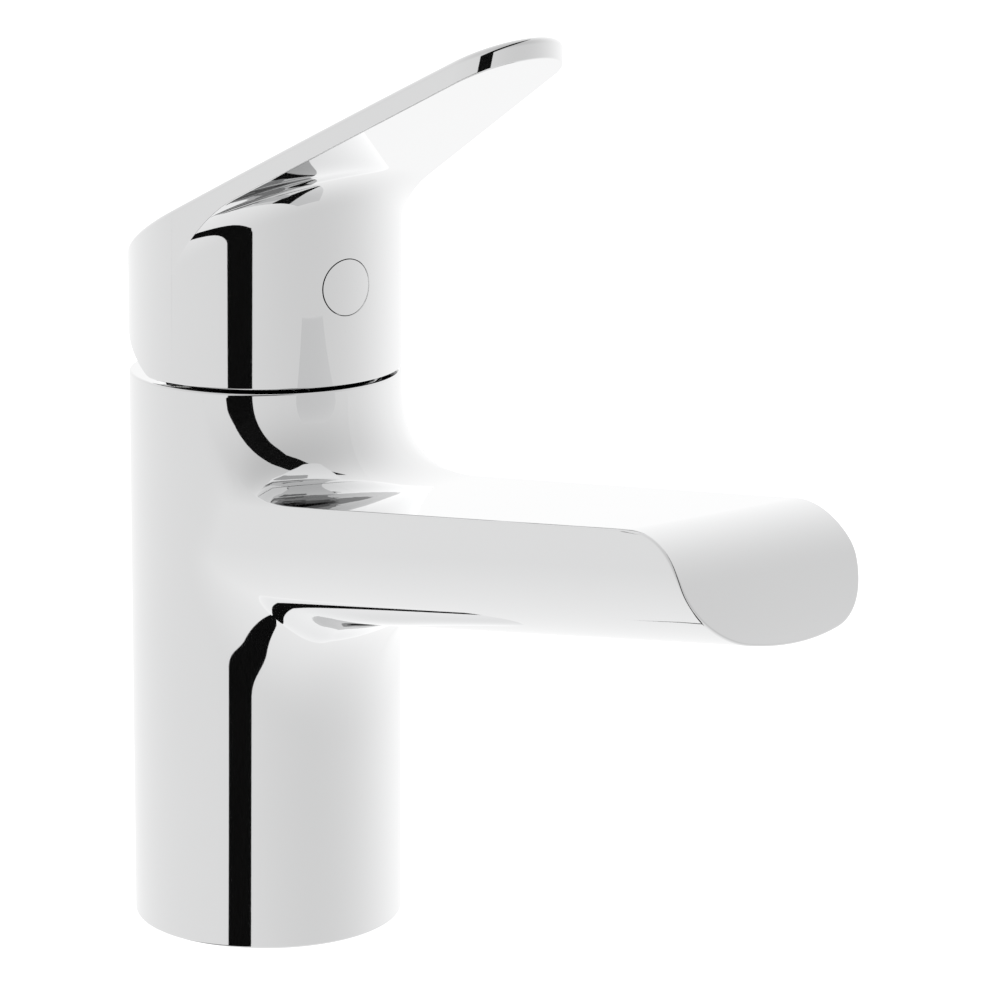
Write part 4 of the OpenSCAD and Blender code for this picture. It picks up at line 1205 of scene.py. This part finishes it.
def floor_finish(studio):
    """Pale paper. The camera sees it near white, with the tap's shadow."""
    material, nodes = blank_material("pale_paper")
    seen = nodes.add("ShaderNodeLightPath", {}, {}, "Is Camera Ray")
    grain = nodes.noise(1.5, 3)
    tone = nodes.tint(grain, darker(studio.floor, 0.99), studio.floor)
    paper = nodes.add("ShaderNodeBsdfDiffuse", {}, {"Color": tone})
    glow = nodes.add("ShaderNodeEmission", {}, {"Strength": 0.7})
    lit = nodes.add("ShaderNodeAddShader", {}, {0: paper, 1: glow})
    mixed = nodes.add("ShaderNodeMixShader", {}, {0: seen, 1: paper, 2: lit})
    nodes.add("ShaderNodeOutputMaterial", {}, {"Surface": mixed})
    return material


# The black card's two edges from its foot to its top, as degrees left of the camera and above the horizon.
# Its foot lies low behind the tap's left side, it stands beside the camera and its top leans over the tap.
CARD_RIGHT = (
    (99, -62), (41, -47), (18, -28), (11.3, -8), (8.6, 1), (1.5, 15.3), (-9.1, 31.1), (-31.9, 50.5),
    (-79.5, 66.7), (-129.7, 63),
)
CARD_LEFT = (
    (134, -53), (87, -53), (53, -38), (33, -20), (30.8, 0.5), (25.2, 13.5), (18, 28), (4.3, 48.3),
    (-18.7, 65.7), (-77, 73),
)


def black_card(studio, facing):
    """A long bent black card, which only the chrome sees."""
    edges = []
    for edge in (CARD_RIGHT, CARD_LEFT):
        turn, rise = np.radians(edge).T
        turn = turn + facing + math.pi
        level = np.cos(rise)
        points = np.stack([np.sin(turn) * level, np.cos(turn) * level, np.sin(rise)], -1)
        # Three rounds of cutting its corners make the edge smooth
        for _ in range(3):
            cuts = np.stack([mix(points[:-1], points[1:], 0.25), mix(points[:-1], points[1:], 0.75)], 1)
            points = np.concatenate([points[:1], cuts.reshape(-1, 3), points[-1:]])
        edges.append(points * studio.card_distance)
    count = len(edges[0])
    faces = [(i, i + 1, count + i + 1, count + i) for i in range(count - 1)]
    material, nodes = blank_material("black_card")
    felt = nodes.add("ShaderNodeBsdfDiffuse", {}, {"Color": (0.006, 0.006, 0.006, 1)})
    nodes.add("ShaderNodeOutputMaterial", {}, {"Surface": felt})
    return sheet("black_card", np.concatenate(edges).tolist(), faces, material)


# How the walls' change towards the camera itself changes: towards the camera, upwards and to the left
NEAR_CHANGE, HIGH_CHANGE, LEFT_CHANGE = 0.08, -0.09, 0.09
# A second reflection is a little brighter, and deep ones fall away
SECOND_GAIN, DEEP_LOSS = 0.22, 0.05


def studio_walls(scene, studio, facing):
    """The studio round the tap: bright behind it, dimmer towards the camera, and white to the camera."""
    world = scene.world or bpy.data.worlds.new("studio")
    scene.world = world
    world.use_nodes = True
    nodes = Nodes(world.node_tree)
    way = nodes.add("ShaderNodeTexCoord", {}, {}, "Generated")

    def along(direction):
        sockets = {0: way, 1: direction}
        return nodes.add("ShaderNodeVectorMath", {"operation": "DOT_PRODUCT"}, sockets, "Value")

    to_camera = along((-math.sin(facing), -math.cos(facing), 0))
    to_left = along((-math.cos(facing), math.sin(facing), 0))
    upwards = along((0, 0, 1))
    change = NEAR_CHANGE * to_camera + HIGH_CHANGE * upwards + LEFT_CHANGE * to_left - studio.wall_depth
    further = nodes.add("ShaderNodeLightPath", {}, {}, "Glossy Depth") - 1
    squared = further * further
    depth = (1 + SECOND_GAIN * further) / (1 + DEEP_LOSS * squared * squared)
    tone = (studio.wall_tone + to_camera * change - studio.wall_fall * upwards) * depth
    seen = nodes.add("ShaderNodeLightPath", {}, {}, "Is Camera Ray")
    mirrored = nodes.add("ShaderNodeLightPath", {}, {}, "Is Glossy Ray")
    level = seen + mirrored * tone + (1 - seen - mirrored) * studio.ambient
    walls = nodes.add("ShaderNodeBackground", {}, {"Color": (1, 1, 1, 1), "Strength": level})
    nodes.add("ShaderNodeOutputWorld", {}, {"Surface": walls})


# Panel, registering and running

OPERATORS = (
    TAP_OT_body, TAP_OT_handle, TAP_OT_handle_fixings, TAP_OT_rings, TAP_OT_cartridge, TAP_OT_aerator,
    TAP_OT_stage,
)
GROUPS = {
    "tap_body": BodySizes, "tap_spout": SpoutSizes, "tap_handle": HandleSizes, "tap_finishes": Finishes,
    "tap_studio": StudioSizes,
}


class TAP_PT_sidebar(bpy.types.Panel):
    """Basin mixer tap"""
    bl_idname = "TAP_PT_sidebar"
    bl_label = "Basin mixer tap"
    bl_space_type = "VIEW_3D"
    bl_region_type = "UI"
    bl_category = "Basin tap"

    def draw(self, context):
        for operator in OPERATORS:
            self.layout.operator(operator.bl_idname)
        for name, group in GROUPS.items():
            box = self.layout.box()
            for size in group.__annotations__:
                box.prop(getattr(context.scene, name), size)


def register():
    for cls in (*GROUPS.values(), *OPERATORS, TAP_PT_sidebar):
        bpy.utils.register_class(cls)
    for name, group in GROUPS.items():
        setattr(bpy.types.Scene, name, PointerProperty(type=group))


def unregister():
    for name in GROUPS:
        delattr(bpy.types.Scene, name)
    for cls in (TAP_PT_sidebar, *reversed(OPERATORS), *reversed(GROUPS.values())):
        bpy.utils.unregister_class(cls)


def main():
    register()
    for operator in OPERATORS:
        getattr(bpy.ops.tap, operator.bl_idname.split(".")[1])()


if __name__ == "__main__":
    main()
